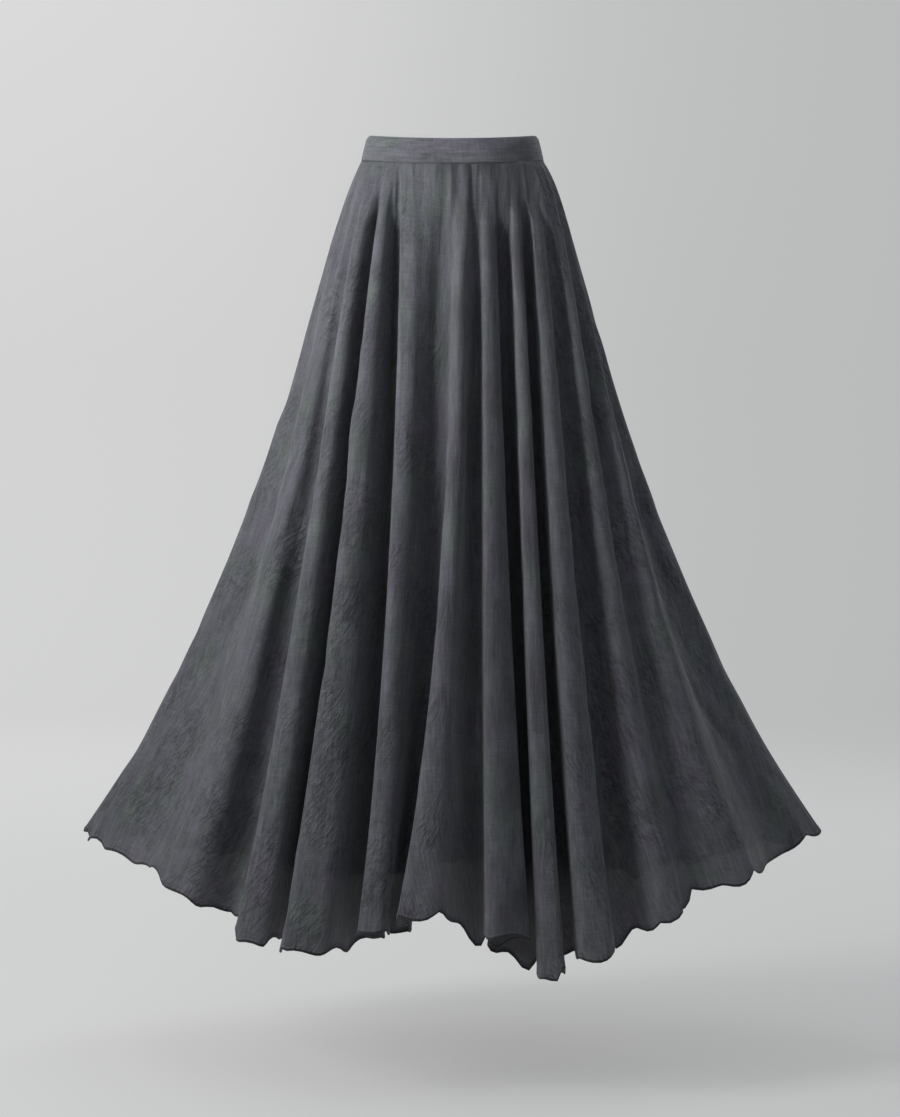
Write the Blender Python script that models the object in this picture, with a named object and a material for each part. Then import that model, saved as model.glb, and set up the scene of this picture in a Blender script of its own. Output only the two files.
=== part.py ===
"""A long flared linen skirt, hollow and open at waist and hem, as it hangs when worn.

Four cut pieces, each its own solid: the flat front waistband, the gathered elastic back
waistband, the front panel and the back panel. The panels are walls lofted from the waist seam
to the hem. A table of folds says where each ridge and valley of the cloth leaves the waist,
where it reaches the hem and how far it stands out from a plain oval bell there.

Units are metres and degrees. +Z is up and the front faces -Y. Angles round the body start at
centre front and grow towards +X. The origin is the middle of the waist opening.
"""

from collections import namedtuple
import math

import bmesh
import bpy
import numpy as np

COLLECTION = "pleated_skirt"

# Waistband
BAND_HEIGHT = 0.0330
BAND_WALL = 0.0030
BAND_EDGE_WALL = 0.0018
BAND_TOP_HALF_WIDTH = 0.1107
BAND_EDGE_HALF_WIDTH = 0.1142
BAND_EDGE_DROP = 0.0045
SEAM_HALF_WIDTH = 0.1213
WAIST_DEPTH_RATIO = 0.757
SEAM_HALF_DEPTH = SEAM_HALF_WIDTH * WAIST_DEPTH_RATIO
FRONT_DIP = 0.012
FRONT_DIP_POWER = 1.3
BAND_COLUMNS = 30

# Elastic gathers round the back
BACK_DEG = 180.0
BACK_HALF_DEG = 90.0
GATHER_COUNT = 26
GATHER_HEIGHT = 0.0013
GATHER_FADE = 0.030
GATHER_PLAIN_DEG = 4.0
GATHER_EASE_DEG = 12.0
BAND_GATHER_COLUMNS = 4 * GATHER_COUNT

# Small gathers of the front panel under the band, at centre front
TUCK_COUNT = 3
TUCK_FIRST_DEG = -14.0
TUCK_LAST_DEG = 15.0
TUCK_HEIGHT = 0.0011
TUCK_FADE = 0.055

# The oval bell that the folds stand out from
HEM_HALF_WIDTH = 0.4907
HEM_HALF_DEPTH = 0.335

# Cloth
CLOTH_WALL = 0.0015
HEM_WALL = 0.0026
HEM_TURN = 0.008
SEAM_GAP = 0.0003

# Wavy edge of the hem
RIPPLE_LENGTH = 0.058
RIPPLE_DROP = 0.0028
RIPPLE_OUT = 0.0025
RIPPLE_FADE = 0.045

# How finely the panels are lofted
FRONT_COLUMNS = 128
BACK_COLUMNS = 126
ROWS = (0.0, 0.02, 0.065, 0.13, 0.22, 0.32, 0.43, 0.55, 0.67, 0.79, 0.90, 0.965, 1.0)

# How the bell widens: share of the drop below the seam, share of the spread reached there
Spread = namedtuple("Spread", "drop share")
SPREADS = (
    Spread(0.000, 0.000),
    Spread(0.030, 0.032),
    Spread(0.087, 0.081),
    Spread(0.177, 0.146),
    Spread(0.267, 0.208),
    Spread(0.387, 0.296),
    Spread(0.507, 0.399),
    Spread(0.627, 0.514),
    Spread(0.747, 0.646),
    Spread(0.867, 0.796),
    Spread(1.000, 1.000),
)

# Ridges and valleys of the cloth, in order round the skirt from the wearer's right side.
# waist, hem: angles at the seam and at the hem; out: millimetres outside the bell at the hem;
# face: millimetres across the rounded top of a ridge at the hem, or 0 for a plain curve;
# drop: millimetres from the seam to the hem; bend: under 1 swings aside early, over 1 late;
# start: share of the drop where the fold begins
Fold = namedtuple("Fold", "name waist hem out face drop bend start")
FRONT_FOLDS = (
    Fold("side_right", -90.0, -81.4, 0, 0, 882, 1.00, 0.10),
    Fold("side_dish_right", -81.0, -59.7, -22, 0, 914, 1.00, 0.25),
    Fold("side_ridge_right", -70.5, -42.0, 16, 36, 938, 0.83, 0.12),
    Fold("valley_a", -57.5, -35.0, -22, 16, 962, 0.76, 0.03),
    Fold("flute_a", -52.2, -29.0, 39, 30, 978, 0.73, 0.03),
    Fold("valley_b", -46.8, -24.6, -44, 14, 986, 0.92, 0.02),
    Fold("flute_b", -40.7, -21.4, 42, 42, 989, 0.84, 0.02),
    Fold("valley_c", -35.4, -12.0, -47, 14, 984, 1.12, 0.05),
    Fold("flute_c", -30.4, -11.2, 33, 28, 962, 1.52, 0.05),
    Fold("valley_d", -1.9, -8.2, -43, 14, 968, 1.66, 0.03),
    Fold("flute_d", 6.0, -5.0, 35, 42, 943, 1.60, 0.03),
    Fold("valley_m", 15.0, 3.4, -18, 8, 953, 1.20, 0.05),
    Fold("flute_e", 21.0, 6.3, 33, 26, 966, 1.00, 0.04),
    Fold("edge_e", 24.8, 11.0, 9, 0, 973, 0.92, 0.055),
    Fold("valley_e", 29.2, 5.6, -42, 0, 990, 0.95, 0.055),
    Fold("floor_e", 33.0, 12.6, -63, 6, 1004, 0.85, 0.05),
    Fold("flute_f", 38.6, 13.6, 46, 14, 1020, 0.73, 0.03),
    Fold("valley_f", 45.5, 17.3, -42, 14, 1003, 0.72, 0.04),
    Fold("flute_g", 52.0, 19.8, 39, 32, 1000, 0.68, 0.04),
    Fold("valley_g", 57.0, 27.1, -37, 14, 972, 0.66, 0.06),
    Fold("flute_h", 65.8, 32.8, 13, 18, 966, 0.68, 0.10),
    Fold("valley_h", 72.0, 38.9, -16, 0, 934, 0.80, 0.15),
    Fold("side_ridge_left", 77.6, 45.8, 9, 0, 927, 0.80, 0.15),
    Fold("side_dish_left", 84.0, 60.5, -22, 0, 909, 0.97, 0.25),
)
BACK_FOLDS = (
    Fold("side_left", 90.0, 79.6, 0, 0, 884, 1.00, 0.10),
    Fold("back_dish_left", 98.0, 98.0, -20, 0, 905, 1.00, 0.25),
    Fold("back_ridge_left", 106.0, 116.0, 14, 0, 930, 0.95, 0.15),
    Fold("back_hollow_left", 113.0, 129.0, -18, 0, 948, 0.90, 0.12),
    Fold("back_flute_a", 120.0, 139.5, 30, 20, 968, 0.85, 0.08),
    Fold("back_valley_a", 127.0, 146.5, -38, 14, 975, 0.80, 0.06),
    Fold("back_flute_b", 134.0, 151.0, 40, 40, 985, 0.80, 0.05),
    Fold("back_valley_b", 141.0, 157.5, -42, 15, 980, 0.90, 0.05),
    Fold("back_flute_c", 149.0, 161.0, 38, 32, 972, 1.00, 0.05),
    Fold("back_valley_c", 159.0, 168.0, -36, 13, 968, 1.20, 0.06),
    Fold("back_flute_d", 167.0, 171.5, 32, 46, 965, 1.30, 0.07),
    Fold("back_valley_d", 177.0, 178.5, -30, 16, 970, 1.30, 0.06),
    Fold("back_flute_e", 185.0, 182.5, 36, 28, 978, 1.20, 0.05),
    Fold("back_valley_e", 195.0, 189.0, -44, 15, 986, 1.00, 0.05),
    Fold("back_flute_f", 204.0, 193.5, 44, 42, 995, 0.85, 0.04),
    Fold("back_valley_f", 213.0, 199.5, -40, 14, 985, 0.80, 0.05),
    Fold("back_flute_g", 221.0, 204.5, 38, 30, 972, 0.80, 0.06),
    Fold("back_valley_g", 229.0, 211.5, -36, 14, 965, 0.85, 0.08),
    Fold("back_flute_h", 237.0, 218.0, 24, 24, 955, 0.90, 0.10),
    Fold("back_hollow_right", 246.0, 230.0, -18, 0, 938, 0.95, 0.12),
    Fold("back_ridge_right", 254.0, 244.0, 16, 0, 922, 1.00, 0.15),
    Fold("back_dish_right", 262.0, 262.0, -20, 0, 902, 1.00, 0.25),
)
FOLDS = FRONT_FOLDS + BACK_FOLDS
MM = 0.001
FULL_TURN = 360.0

# Degrees of waist on each side of a ridge for each millimetre of its top at the hem
WAIST_DEG_PER_FACE = 0.055

# How a fold deepens below its start
FOLD_GROWTH = 0.60
FOLD_SOFT_START = 0.06
LEAST_BEND = 0.5

# Step for working out the slope of the cloth
SLOPE_STEP = 0.0004

CHARCOAL = (0.062, 0.064, 0.070, 1.0)
CLOTH_ROUGHNESS = 0.85
SHARP_DEG = 50.0


def clear_scene():
    for item in list(bpy.data.objects):
        bpy.data.objects.remove(item, do_unlink=True)


def smooth_step(x):
    x = np.clip(x, 0.0, 1.0)
    return x * x * (3.0 - 2.0 * x)


def cubic(at, places, values, tangents):
    """Values at some places of a curve given by its points and its slopes there."""
    i = np.clip(np.searchsorted(places, at, side="right") - 1, 0, len(places) - 2)
    step = places[i + 1] - places[i]
    x = (at - places[i]) / step
    return (
        values[i] * (1 + 2 * x) * (1 - x) ** 2
        + values[i + 1] * x * x * (3 - 2 * x)
        + tangents[i] * step * x * (1 - x) ** 2
        + tangents[i + 1] * step * x * x * (x - 1)
    )


class RoundSpline:
    """A smooth closed curve through values at given places, the last joining the first."""

    def __init__(self, places, values, turn):
        self.turn = turn
        self.places = np.append(places, turn)
        self.values = np.append(values, values[0])
        count = len(values)
        step = np.diff(self.places)
        slope = np.diff(self.values) / step
        matrix = np.zeros((count, count))
        right = np.zeros(count)
        for i in range(count):
            before = (i - 1) % count
            after = (i + 1) % count
            matrix[i, before] += step[i]
            matrix[i, i] += 2.0 * (step[before] + step[i])
            matrix[i, after] += step[before]
            right[i] = 3.0 * (step[i] * slope[before] + step[before] * slope[i])
        tangents = np.linalg.solve(matrix, right)
        self.tangents = np.append(tangents, tangents[0])

    def __call__(self, at):
        local = np.mod(at, self.turn)
        return cubic(local, self.places, self.values, self.tangents)


def front_dip(waist_deg):
    """How far the worn waistline sinks towards centre front."""
    facing = np.maximum(np.cos(np.radians(waist_deg)), 0.0)
    return FRONT_DIP * facing ** FRONT_DIP_POWER


def oval(deg, half_width, half_depth):
    angle = np.radians(deg)
    return half_width * np.sin(angle), -half_depth * np.cos(angle)


def oval_normal(deg, half_width, half_depth):
    angle = np.radians(deg)
    across = np.sin(angle) / half_width
    along = -np.cos(angle) / half_depth
    size = np.hypot(across, along)
    return across / size, along / size


def spread_share(drop):
    """How much of its spread the bell has reached at a share of the drop."""
    drops = np.array([row.drop for row in SPREADS])
    shares = np.array([row.share for row in SPREADS])
    return cubic(drop, drops, shares, np.gradient(shares, drops))


def gathers(waist_deg):
    """Waves of the elastic back, from -1 to 1, fading out before the side seams."""
    from_side = BACK_HALF_DEG - np.abs(waist_deg - BACK_DEG) - GATHER_PLAIN_DEG
    inside = smooth_step(from_side / GATHER_EASE_DEG)
    turns = (waist_deg - BACK_DEG + BACK_HALF_DEG) / (2 * BACK_HALF_DEG) * GATHER_COUNT
    return inside * np.sin(math.tau * turns)


def tucks(waist_deg):
    """Small gathers at centre front, from -1 to 1."""
    share = (waist_deg - TUCK_FIRST_DEG) / (TUCK_LAST_DEG - TUCK_FIRST_DEG)
    return np.sin(np.clip(share, 0.0, 1.0) * math.tau * TUCK_COUNT)


def fold_knots(fold):
    """A fold as one place on the cloth, or as the two edges of its rounded top."""
    if not fold.face:
        return [fold]
    angle = math.radians(fold.hem)
    per_radian = math.hypot(HEM_HALF_WIDTH * math.cos(angle), HEM_HALF_DEPTH * math.sin(angle))
    half = math.degrees(fold.face * MM / 2 / per_radian)
    half_waist = fold.face * WAIST_DEG_PER_FACE
    return [
        fold._replace(waist=fold.waist - half_waist, hem=fold.hem - half),
        fold._replace(waist=fold.waist + half_waist, hem=fold.hem + half),
    ]


class Skirt:
    """The cloth below the seam, as a surface over cloth width and share of the drop."""

    def __init__(self):
        knots = [knot for fold in FOLDS for knot in fold_knots(fold)]
        self.waist_deg = np.array([knot.waist for knot in knots])
        hem_deg = np.array([knot.hem for knot in knots])
        out = np.array([knot.out for knot in knots]) * MM
        base_x, base_y = oval(hem_deg, HEM_HALF_WIDTH, HEM_HALF_DEPTH)
        side, ahead = oval_normal(hem_deg, HEM_HALF_WIDTH, HEM_HALF_DEPTH)
        out_x = out * side
        out_y = out * ahead
        hem = np.stack((base_x + out_x, base_y + out_y), axis=1)
        chords = np.linalg.norm(np.roll(hem, -1, axis=0) - hem, axis=1)
        self.places = np.concatenate(((0.0,), np.cumsum(chords)[:-1]))
        self.width = float(chords.sum())
        self.base_x = self.spline(base_x)
        self.base_y = self.spline(base_y)
        self.out_x = self.spline(out_x)
        self.out_y = self.spline(out_y)
        self.drop = self.spline([knot.drop * MM for knot in knots])
        self.bend = self.spline([knot.bend for knot in knots])
        self.start = self.spline([knot.start for knot in knots])
        self.names = [knot.name for knot in knots]

    def spline(self, values):
        return RoundSpline(self.places, values, self.width)

    def waist_at(self, across):
        """The angle at the seam of a place across the cloth."""
        places = np.append(self.places, self.width)
        angles = np.append(self.waist_deg, self.waist_deg[0] + FULL_TURN)
        return np.interp(np.mod(across, self.width), places, angles)

    def point(self, across, down):
        """Places on the outer face, for cloth width across and share of the drop down."""
        waist = self.waist_at(across)
        seam_x, seam_y = oval(waist, SEAM_HALF_WIDTH, SEAM_HALF_DEPTH)
        side, ahead = oval_normal(waist, SEAM_HALF_WIDTH, SEAM_HALF_DEPTH)
        drop = self.drop(across)
        share = np.clip(spread_share(down), 0.0, 1.0)
        swing = share ** np.maximum(self.bend(across), LEAST_BEND)
        start = np.maximum(self.start(across), 0.0)
        below = np.clip((down - start) / (1.0 - start), 0.0, 1.0)
        depth = below ** FOLD_GROWTH * smooth_step(below / FOLD_SOFT_START)
        x = seam_x + (self.base_x(across) - seam_x) * swing + self.out_x(across) * depth
        y = seam_y + (self.base_y(across) - seam_y) * share + self.out_y(across) * depth
        z = -BAND_HEIGHT - SEAM_GAP - front_dip(waist) - drop * down
        fine = GATHER_HEIGHT * gathers(waist) * np.exp(-drop * down / GATHER_FADE)
        fine += TUCK_HEIGHT * tucks(waist) * np.exp(-drop * down / TUCK_FADE)
        near_edge = np.exp(-drop * (1.0 - down) / RIPPLE_FADE)
        wave = math.tau * round(self.width / RIPPLE_LENGTH) * across / self.width
        fine += RIPPLE_OUT * near_edge * np.cos(wave)
        z += RIPPLE_DROP * near_edge * np.sin(wave)
        return np.stack((x + fine * side, y + fine * ahead, z), axis=-1)

    def wall(self, first, last, columns):
        """Outer and inner points of the panel between two places of the cloth's width."""
        across = np.linspace(first, last, columns + 1)[None, :] + np.zeros((len(ROWS), 1))
        down = np.array(ROWS)[:, None] + np.zeros((1, columns + 1))
        outer = self.point(across, down)
        along = self.point(across + SLOPE_STEP, down) - self.point(across - SLOPE_STEP, down)
        along /= np.linalg.norm(along, axis=-1, keepdims=True)
        lower = np.minimum(down + SLOPE_STEP, 1.0)
        upper = np.maximum(down - SLOPE_STEP, 0.0)
        fall = self.point(across, lower) - self.point(across, upper)
        normal = np.cross(fall, along)
        normal /= np.linalg.norm(normal, axis=-1, keepdims=True)
        outer[:, 0] += along[:, 0] * SEAM_GAP / 2
        outer[:, -1] -= along[:, -1] * SEAM_GAP / 2
        to_edge = self.drop(across) * (1.0 - down)
        thick = np.where(to_edge < HEM_TURN, HEM_WALL, CLOTH_WALL)[..., None]
        return outer, outer - normal * thick


def skirt_spans(skirt):
    """Where the two side seams lie across the cloth's width."""
    left_seam = skirt.places[skirt.names.index("side_left")]
    return (0.0, left_seam), (left_seam, skirt.width)


def cloth_material(name):
    material = bpy.data.materials.new(name)
    material.use_nodes = True
    shader = material.node_tree.nodes["Principled BSDF"]
    shader.inputs["Base Color"].default_value = CHARCOAL
    shader.inputs["Roughness"].default_value = CLOTH_ROUGHNESS
    shader.inputs["Metallic"].default_value = 0.0
    return material


def closed_wall(name, outer, inner, collection):
    """A solid wall between two grids of points, rows down and columns across.

    Both faces are cut along the same diagonals, so the wall keeps its thickness.
    """
    rows, columns = outer.shape[:2]
    mesh = bmesh.new()
    face = [[mesh.verts.new(outer[r, c]) for c in range(columns)] for r in range(rows)]
    back = [[mesh.verts.new(inner[r, c]) for c in range(columns)] for r in range(rows)]

    def quad(a, b, c, d):
        mesh.faces.new((a, b, c))
        mesh.faces.new((a, c, d))

    for r in range(rows - 1):
        for c in range(columns - 1):
            quad(face[r][c], face[r + 1][c], face[r + 1][c + 1], face[r][c + 1])
            quad(back[r][c], back[r][c + 1], back[r + 1][c + 1], back[r + 1][c])
    for c in range(columns - 1):
        quad(face[0][c], face[0][c + 1], back[0][c + 1], back[0][c])
        quad(face[-1][c + 1], face[-1][c], back[-1][c], back[-1][c + 1])
    for r in range(rows - 1):
        quad(face[r + 1][0], face[r][0], back[r][0], back[r + 1][0])
        quad(face[r][-1], face[r + 1][-1], back[r + 1][-1], back[r][-1])
    data = bpy.data.meshes.new(name)
    mesh.to_mesh(data)
    mesh.free()
    data.shade_smooth()
    data.set_sharp_from_angle(angle=math.radians(SHARP_DEG))
    data.materials.append(cloth_material(name + "_cloth"))
    item = bpy.data.objects.new(name, data)
    collection.objects.link(item)
    return item


def band_points(first_deg, last_deg, columns, wave):
    """Outer and inner points of one length of waistband, its top edge softly folded."""
    deg = np.linspace(first_deg, last_deg, columns + 1)
    heights = (0.0, BAND_EDGE_DROP, BAND_HEIGHT)
    half_widths = (BAND_TOP_HALF_WIDTH, BAND_EDGE_HALF_WIDTH, SEAM_HALF_WIDTH)
    outer = np.zeros((len(heights), columns + 1, 3))
    inner = np.zeros_like(outer)
    for row, (height, half_width) in enumerate(zip(heights, half_widths)):
        half_depth = half_width * WAIST_DEPTH_RATIO
        x, y = oval(deg, half_width, half_depth)
        side, ahead = oval_normal(deg, half_width, half_depth)
        z = -front_dip(deg) - height
        move = wave * gathers(deg)
        x = x + move * side
        y = y + move * ahead
        thick = BAND_WALL if row else BAND_EDGE_WALL
        outer[row] = np.stack((x, y, z), axis=-1)
        inner[row] = np.stack((x - thick * side, y - thick * ahead, z), axis=-1)
    for end, other in ((0, 1), (-1, -2)):
        for grid in (outer, inner):
            along = grid[:, other] - grid[:, end]
            along /= np.linalg.norm(along, axis=-1, keepdims=True)
            grid[:, end] += along * SEAM_GAP / 2
    return outer, inner


def main():
    clear_scene()
    collection = bpy.data.collections.new(COLLECTION)
    bpy.context.scene.collection.children.link(collection)
    skirt = Skirt()
    front_span, back_span = skirt_spans(skirt)
    first, middle, last = -BACK_HALF_DEG, BACK_HALF_DEG, BACK_DEG + BACK_HALF_DEG
    front_band = band_points(first, middle, BAND_COLUMNS, 0.0)
    back_band = band_points(middle, last, BAND_GATHER_COLUMNS, GATHER_HEIGHT)
    closed_wall("waistband_front", *front_band, collection)
    closed_wall("waistband_back", *back_band, collection)
    closed_wall("skirt_front", *skirt.wall(*front_span, FRONT_COLUMNS), collection)
    closed_wall("skirt_back", *skirt.wall(*back_span, BACK_COLUMNS), collection)


main()
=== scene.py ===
"""Looks of a long flared linen skirt that hangs as if worn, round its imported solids.

The cloth is built again as fine shells on the solids' own form: two panels with a rolled hem,
a flat front waistband and a gathered elastic back one, with their sewing. Lengths are metres
unless a name says otherwise, +Z is up and the front faces -Y.
"""

from dataclasses import dataclass, field
from enum import Enum
import logging
import math
from typing import NamedTuple

import bpy
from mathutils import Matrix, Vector
import numpy as np


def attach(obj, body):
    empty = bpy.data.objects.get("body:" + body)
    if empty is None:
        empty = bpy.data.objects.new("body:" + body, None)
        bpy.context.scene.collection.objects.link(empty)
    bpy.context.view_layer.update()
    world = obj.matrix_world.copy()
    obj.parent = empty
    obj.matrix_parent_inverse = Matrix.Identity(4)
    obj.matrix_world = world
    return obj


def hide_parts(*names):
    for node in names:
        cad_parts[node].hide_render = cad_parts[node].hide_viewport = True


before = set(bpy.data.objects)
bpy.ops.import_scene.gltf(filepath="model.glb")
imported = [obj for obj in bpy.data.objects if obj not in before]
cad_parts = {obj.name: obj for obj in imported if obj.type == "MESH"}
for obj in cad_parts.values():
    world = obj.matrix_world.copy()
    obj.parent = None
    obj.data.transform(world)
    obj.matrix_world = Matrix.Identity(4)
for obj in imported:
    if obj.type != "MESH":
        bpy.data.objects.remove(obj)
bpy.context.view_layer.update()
LOG = logging.getLogger("skirt")

MM = 0.001
BODY = "root"
SKIRT_SLOT = "skirt_linen"
BAND_SLOT = "band_linen"
GRAIN_UV = "grain"
HEM_ATTRIBUTE = "to_hem"
SHEER_HEIGHT = 0.145
FULL_TURN = 360.0

Colour = tuple[float, float, float, float]
Place = tuple[float, float, float]


class Side(Enum):
    """The two halves that the skirt is cut in."""

    FRONT = "front"
    BACK = "back"


class Spread(NamedTuple):
    """Share of the bell's widening reached at a share of the drop below the seam."""

    drop: float
    share: float


SPREADS = (
    Spread(0.000, 0.000),
    Spread(0.030, 0.032),
    Spread(0.087, 0.081),
    Spread(0.177, 0.146),
    Spread(0.267, 0.208),
    Spread(0.387, 0.296),
    Spread(0.507, 0.399),
    Spread(0.627, 0.514),
    Spread(0.747, 0.646),
    Spread(0.867, 0.796),
    Spread(1.000, 1.000),
)


class Fold(NamedTuple):
    """A ridge or valley of the cloth.

    waist and hem are its angles at the seam and at the hem, out its millimetres outside the
    bell at the hem, face the millimetres across its rounded top, drop the millimetres from
    seam to hem. bend is under 1 where it swings aside early, and start is the share of the
    drop where it begins.
    """

    name: str
    waist: float
    hem: float
    out: float
    face: float
    drop: float
    bend: float
    start: float


FRONT_FOLDS = (
    Fold("side_right", -90.0, -81.4, 0, 0, 882, 1.00, 0.10),
    Fold("side_dish_right", -81.0, -59.7, -22, 0, 914, 1.00, 0.25),
    Fold("side_ridge_right", -70.5, -42.0, 16, 36, 938, 0.83, 0.12),
    Fold("valley_a", -57.5, -35.0, -22, 16, 962, 0.76, 0.03),
    Fold("flute_a", -52.2, -29.0, 39, 30, 978, 0.73, 0.03),
    Fold("valley_b", -46.8, -24.6, -44, 14, 986, 0.92, 0.02),
    Fold("flute_b", -40.7, -21.4, 42, 42, 989, 0.84, 0.02),
    Fold("valley_c", -35.4, -12.0, -47, 14, 984, 1.12, 0.05),
    Fold("flute_c", -30.4, -11.2, 33, 28, 962, 1.52, 0.05),
    Fold("valley_d", -1.9, -8.2, -43, 14, 968, 1.66, 0.03),
    Fold("flute_d", 6.0, -5.0, 35, 42, 943, 1.60, 0.03),
    Fold("valley_m", 15.0, 3.4, -18, 8, 953, 1.20, 0.05),
    Fold("flute_e", 21.0, 6.3, 33, 26, 966, 1.00, 0.04),
    Fold("edge_e", 24.8, 11.0, 9, 0, 973, 0.92, 0.055),
    Fold("valley_e", 29.2, 5.6, -42, 0, 990, 0.95, 0.055),
    Fold("floor_e", 33.0, 12.6, -63, 6, 1004, 0.85, 0.05),
    Fold("flute_f", 38.6, 13.6, 46, 14, 1020, 0.73, 0.03),
    Fold("valley_f", 45.5, 17.3, -42, 14, 1003, 0.72, 0.04),
    Fold("flute_g", 52.0, 19.8, 39, 32, 1000, 0.68, 0.04),
    Fold("valley_g", 57.0, 27.1, -37, 14, 972, 0.66, 0.06),
    Fold("flute_h", 65.8, 32.8, 13, 18, 966, 0.68, 0.10),
    Fold("valley_h", 72.0, 38.9, -16, 0, 934, 0.80, 0.15),
    Fold("side_ridge_left", 77.6, 45.8, 9, 0, 927, 0.80, 0.15),
    Fold("side_dish_left", 84.0, 60.5, -22, 0, 909, 0.97, 0.25),
)
BACK_FOLDS = (
    Fold("side_left", 90.0, 79.6, 0, 0, 884, 1.00, 0.10),
    Fold("back_dish_left", 98.0, 98.0, -20, 0, 905, 1.00, 0.25),
    Fold("back_ridge_left", 106.0, 116.0, 14, 0, 930, 0.95, 0.15),
    Fold("back_hollow_left", 113.0, 129.0, -18, 0, 948, 0.90, 0.12),
    Fold("back_flute_a", 120.0, 139.5, 30, 20, 968, 0.85, 0.08),
    Fold("back_valley_a", 127.0, 146.5, -38, 14, 975, 0.80, 0.06),
    Fold("back_flute_b", 134.0, 151.0, 40, 40, 985, 0.80, 0.05),
    Fold("back_valley_b", 141.0, 157.5, -42, 15, 980, 0.90, 0.05),
    Fold("back_flute_c", 149.0, 161.0, 38, 32, 972, 1.00, 0.05),
    Fold("back_valley_c", 159.0, 168.0, -36, 13, 968, 1.20, 0.06),
    Fold("back_flute_d", 167.0, 171.5, 32, 46, 965, 1.30, 0.07),
    Fold("back_valley_d", 177.0, 178.5, -30, 16, 970, 1.30, 0.06),
    Fold("back_flute_e", 185.0, 182.5, 36, 28, 978, 1.20, 0.05),
    Fold("back_valley_e", 195.0, 189.0, -44, 15, 986, 1.00, 0.05),
    Fold("back_flute_f", 204.0, 193.5, 44, 42, 995, 0.85, 0.04),
    Fold("back_valley_f", 213.0, 199.5, -40, 14, 985, 0.80, 0.05),
    Fold("back_flute_g", 221.0, 204.5, 38, 30, 972, 0.80, 0.06),
    Fold("back_valley_g", 229.0, 211.5, -36, 14, 965, 0.85, 0.08),
    Fold("back_flute_h", 237.0, 218.0, 24, 24, 955, 0.90, 0.10),
    Fold("back_hollow_right", 246.0, 230.0, -18, 0, 938, 0.95, 0.12),
    Fold("back_ridge_right", 254.0, 244.0, 16, 0, 922, 1.00, 0.15),
    Fold("back_dish_right", 262.0, 262.0, -20, 0, 902, 1.00, 0.25),
)


class HemDip(NamedTuple):
    """A stretch of the hem that hangs lower, or higher where drop is negative.

    across is millimetres of hem width from the named fold to its middle, width half its own
    width, and drop how far it hangs there, both in millimetres.
    """

    fold: str
    across: float
    width: float
    drop: float


HEM_DIPS = (
    HemDip("side_right", 30, 26, 8),
    HemDip("side_right", 84, 32, 6),
    HemDip("side_dish_right", 60, 40, -23),
    HemDip("side_ridge_right", 25, 16, 9),
    HemDip("valley_a", -8, 9, -9),
    HemDip("flute_a", 14, 20, 7),
    HemDip("flute_b", -17, 6, -7),
    HemDip("valley_c", -53, 14, 10),
    HemDip("valley_c", 9, 7, -11),
    HemDip("valley_d", 2, 10, 5),
    HemDip("flute_d", 31, 11, -9),
    HemDip("valley_m", 2, 17, 30),
    HemDip("floor_e", -4, 12, 19),
    HemDip("flute_f", 15, 6, -20),
    HemDip("valley_g", -6, 17, 28),
    HemDip("valley_g", 42, 20, 7),
    HemDip("flute_h", 10, 12, -9),
    HemDip("valley_h", 30, 26, 5),
    HemDip("side_ridge_left", 38, 20, -10),
    HemDip("side_dish_left", 30, 18, 5),
    HemDip("back_ridge_left", 20, 30, -9),
    HemDip("back_flute_b", -14, 14, 12),
    HemDip("back_valley_c", 4, 12, -10),
    HemDip("back_flute_e", 12, 14, 14),
    HemDip("back_flute_g", 16, 16, 10),
    HemDip("back_ridge_right", -24, 28, -12),
)

# Valleys deep enough to hide where the grain of one stretch of cloth gives way to the next
GRAIN_BREAKS = (
    "valley_a", "valley_b", "valley_c", "valley_d", "floor_e", "valley_f", "valley_g",
    "back_valley_a", "back_valley_b", "back_valley_c", "back_valley_d", "back_valley_e",
    "back_valley_f", "back_valley_g",
)


class Crease(NamedTuple):
    """A soft ridge, or a trough where height is negative, laid between two places.

    Each end is millimetres of hem width from the named fold and a share of the drop. height
    and width are millimetres, and bow is how far its middle bends aside.
    """

    fold: str
    top_across: float
    top_down: float
    foot_across: float
    foot_down: float
    height: float
    width: float
    bow: float


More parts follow.
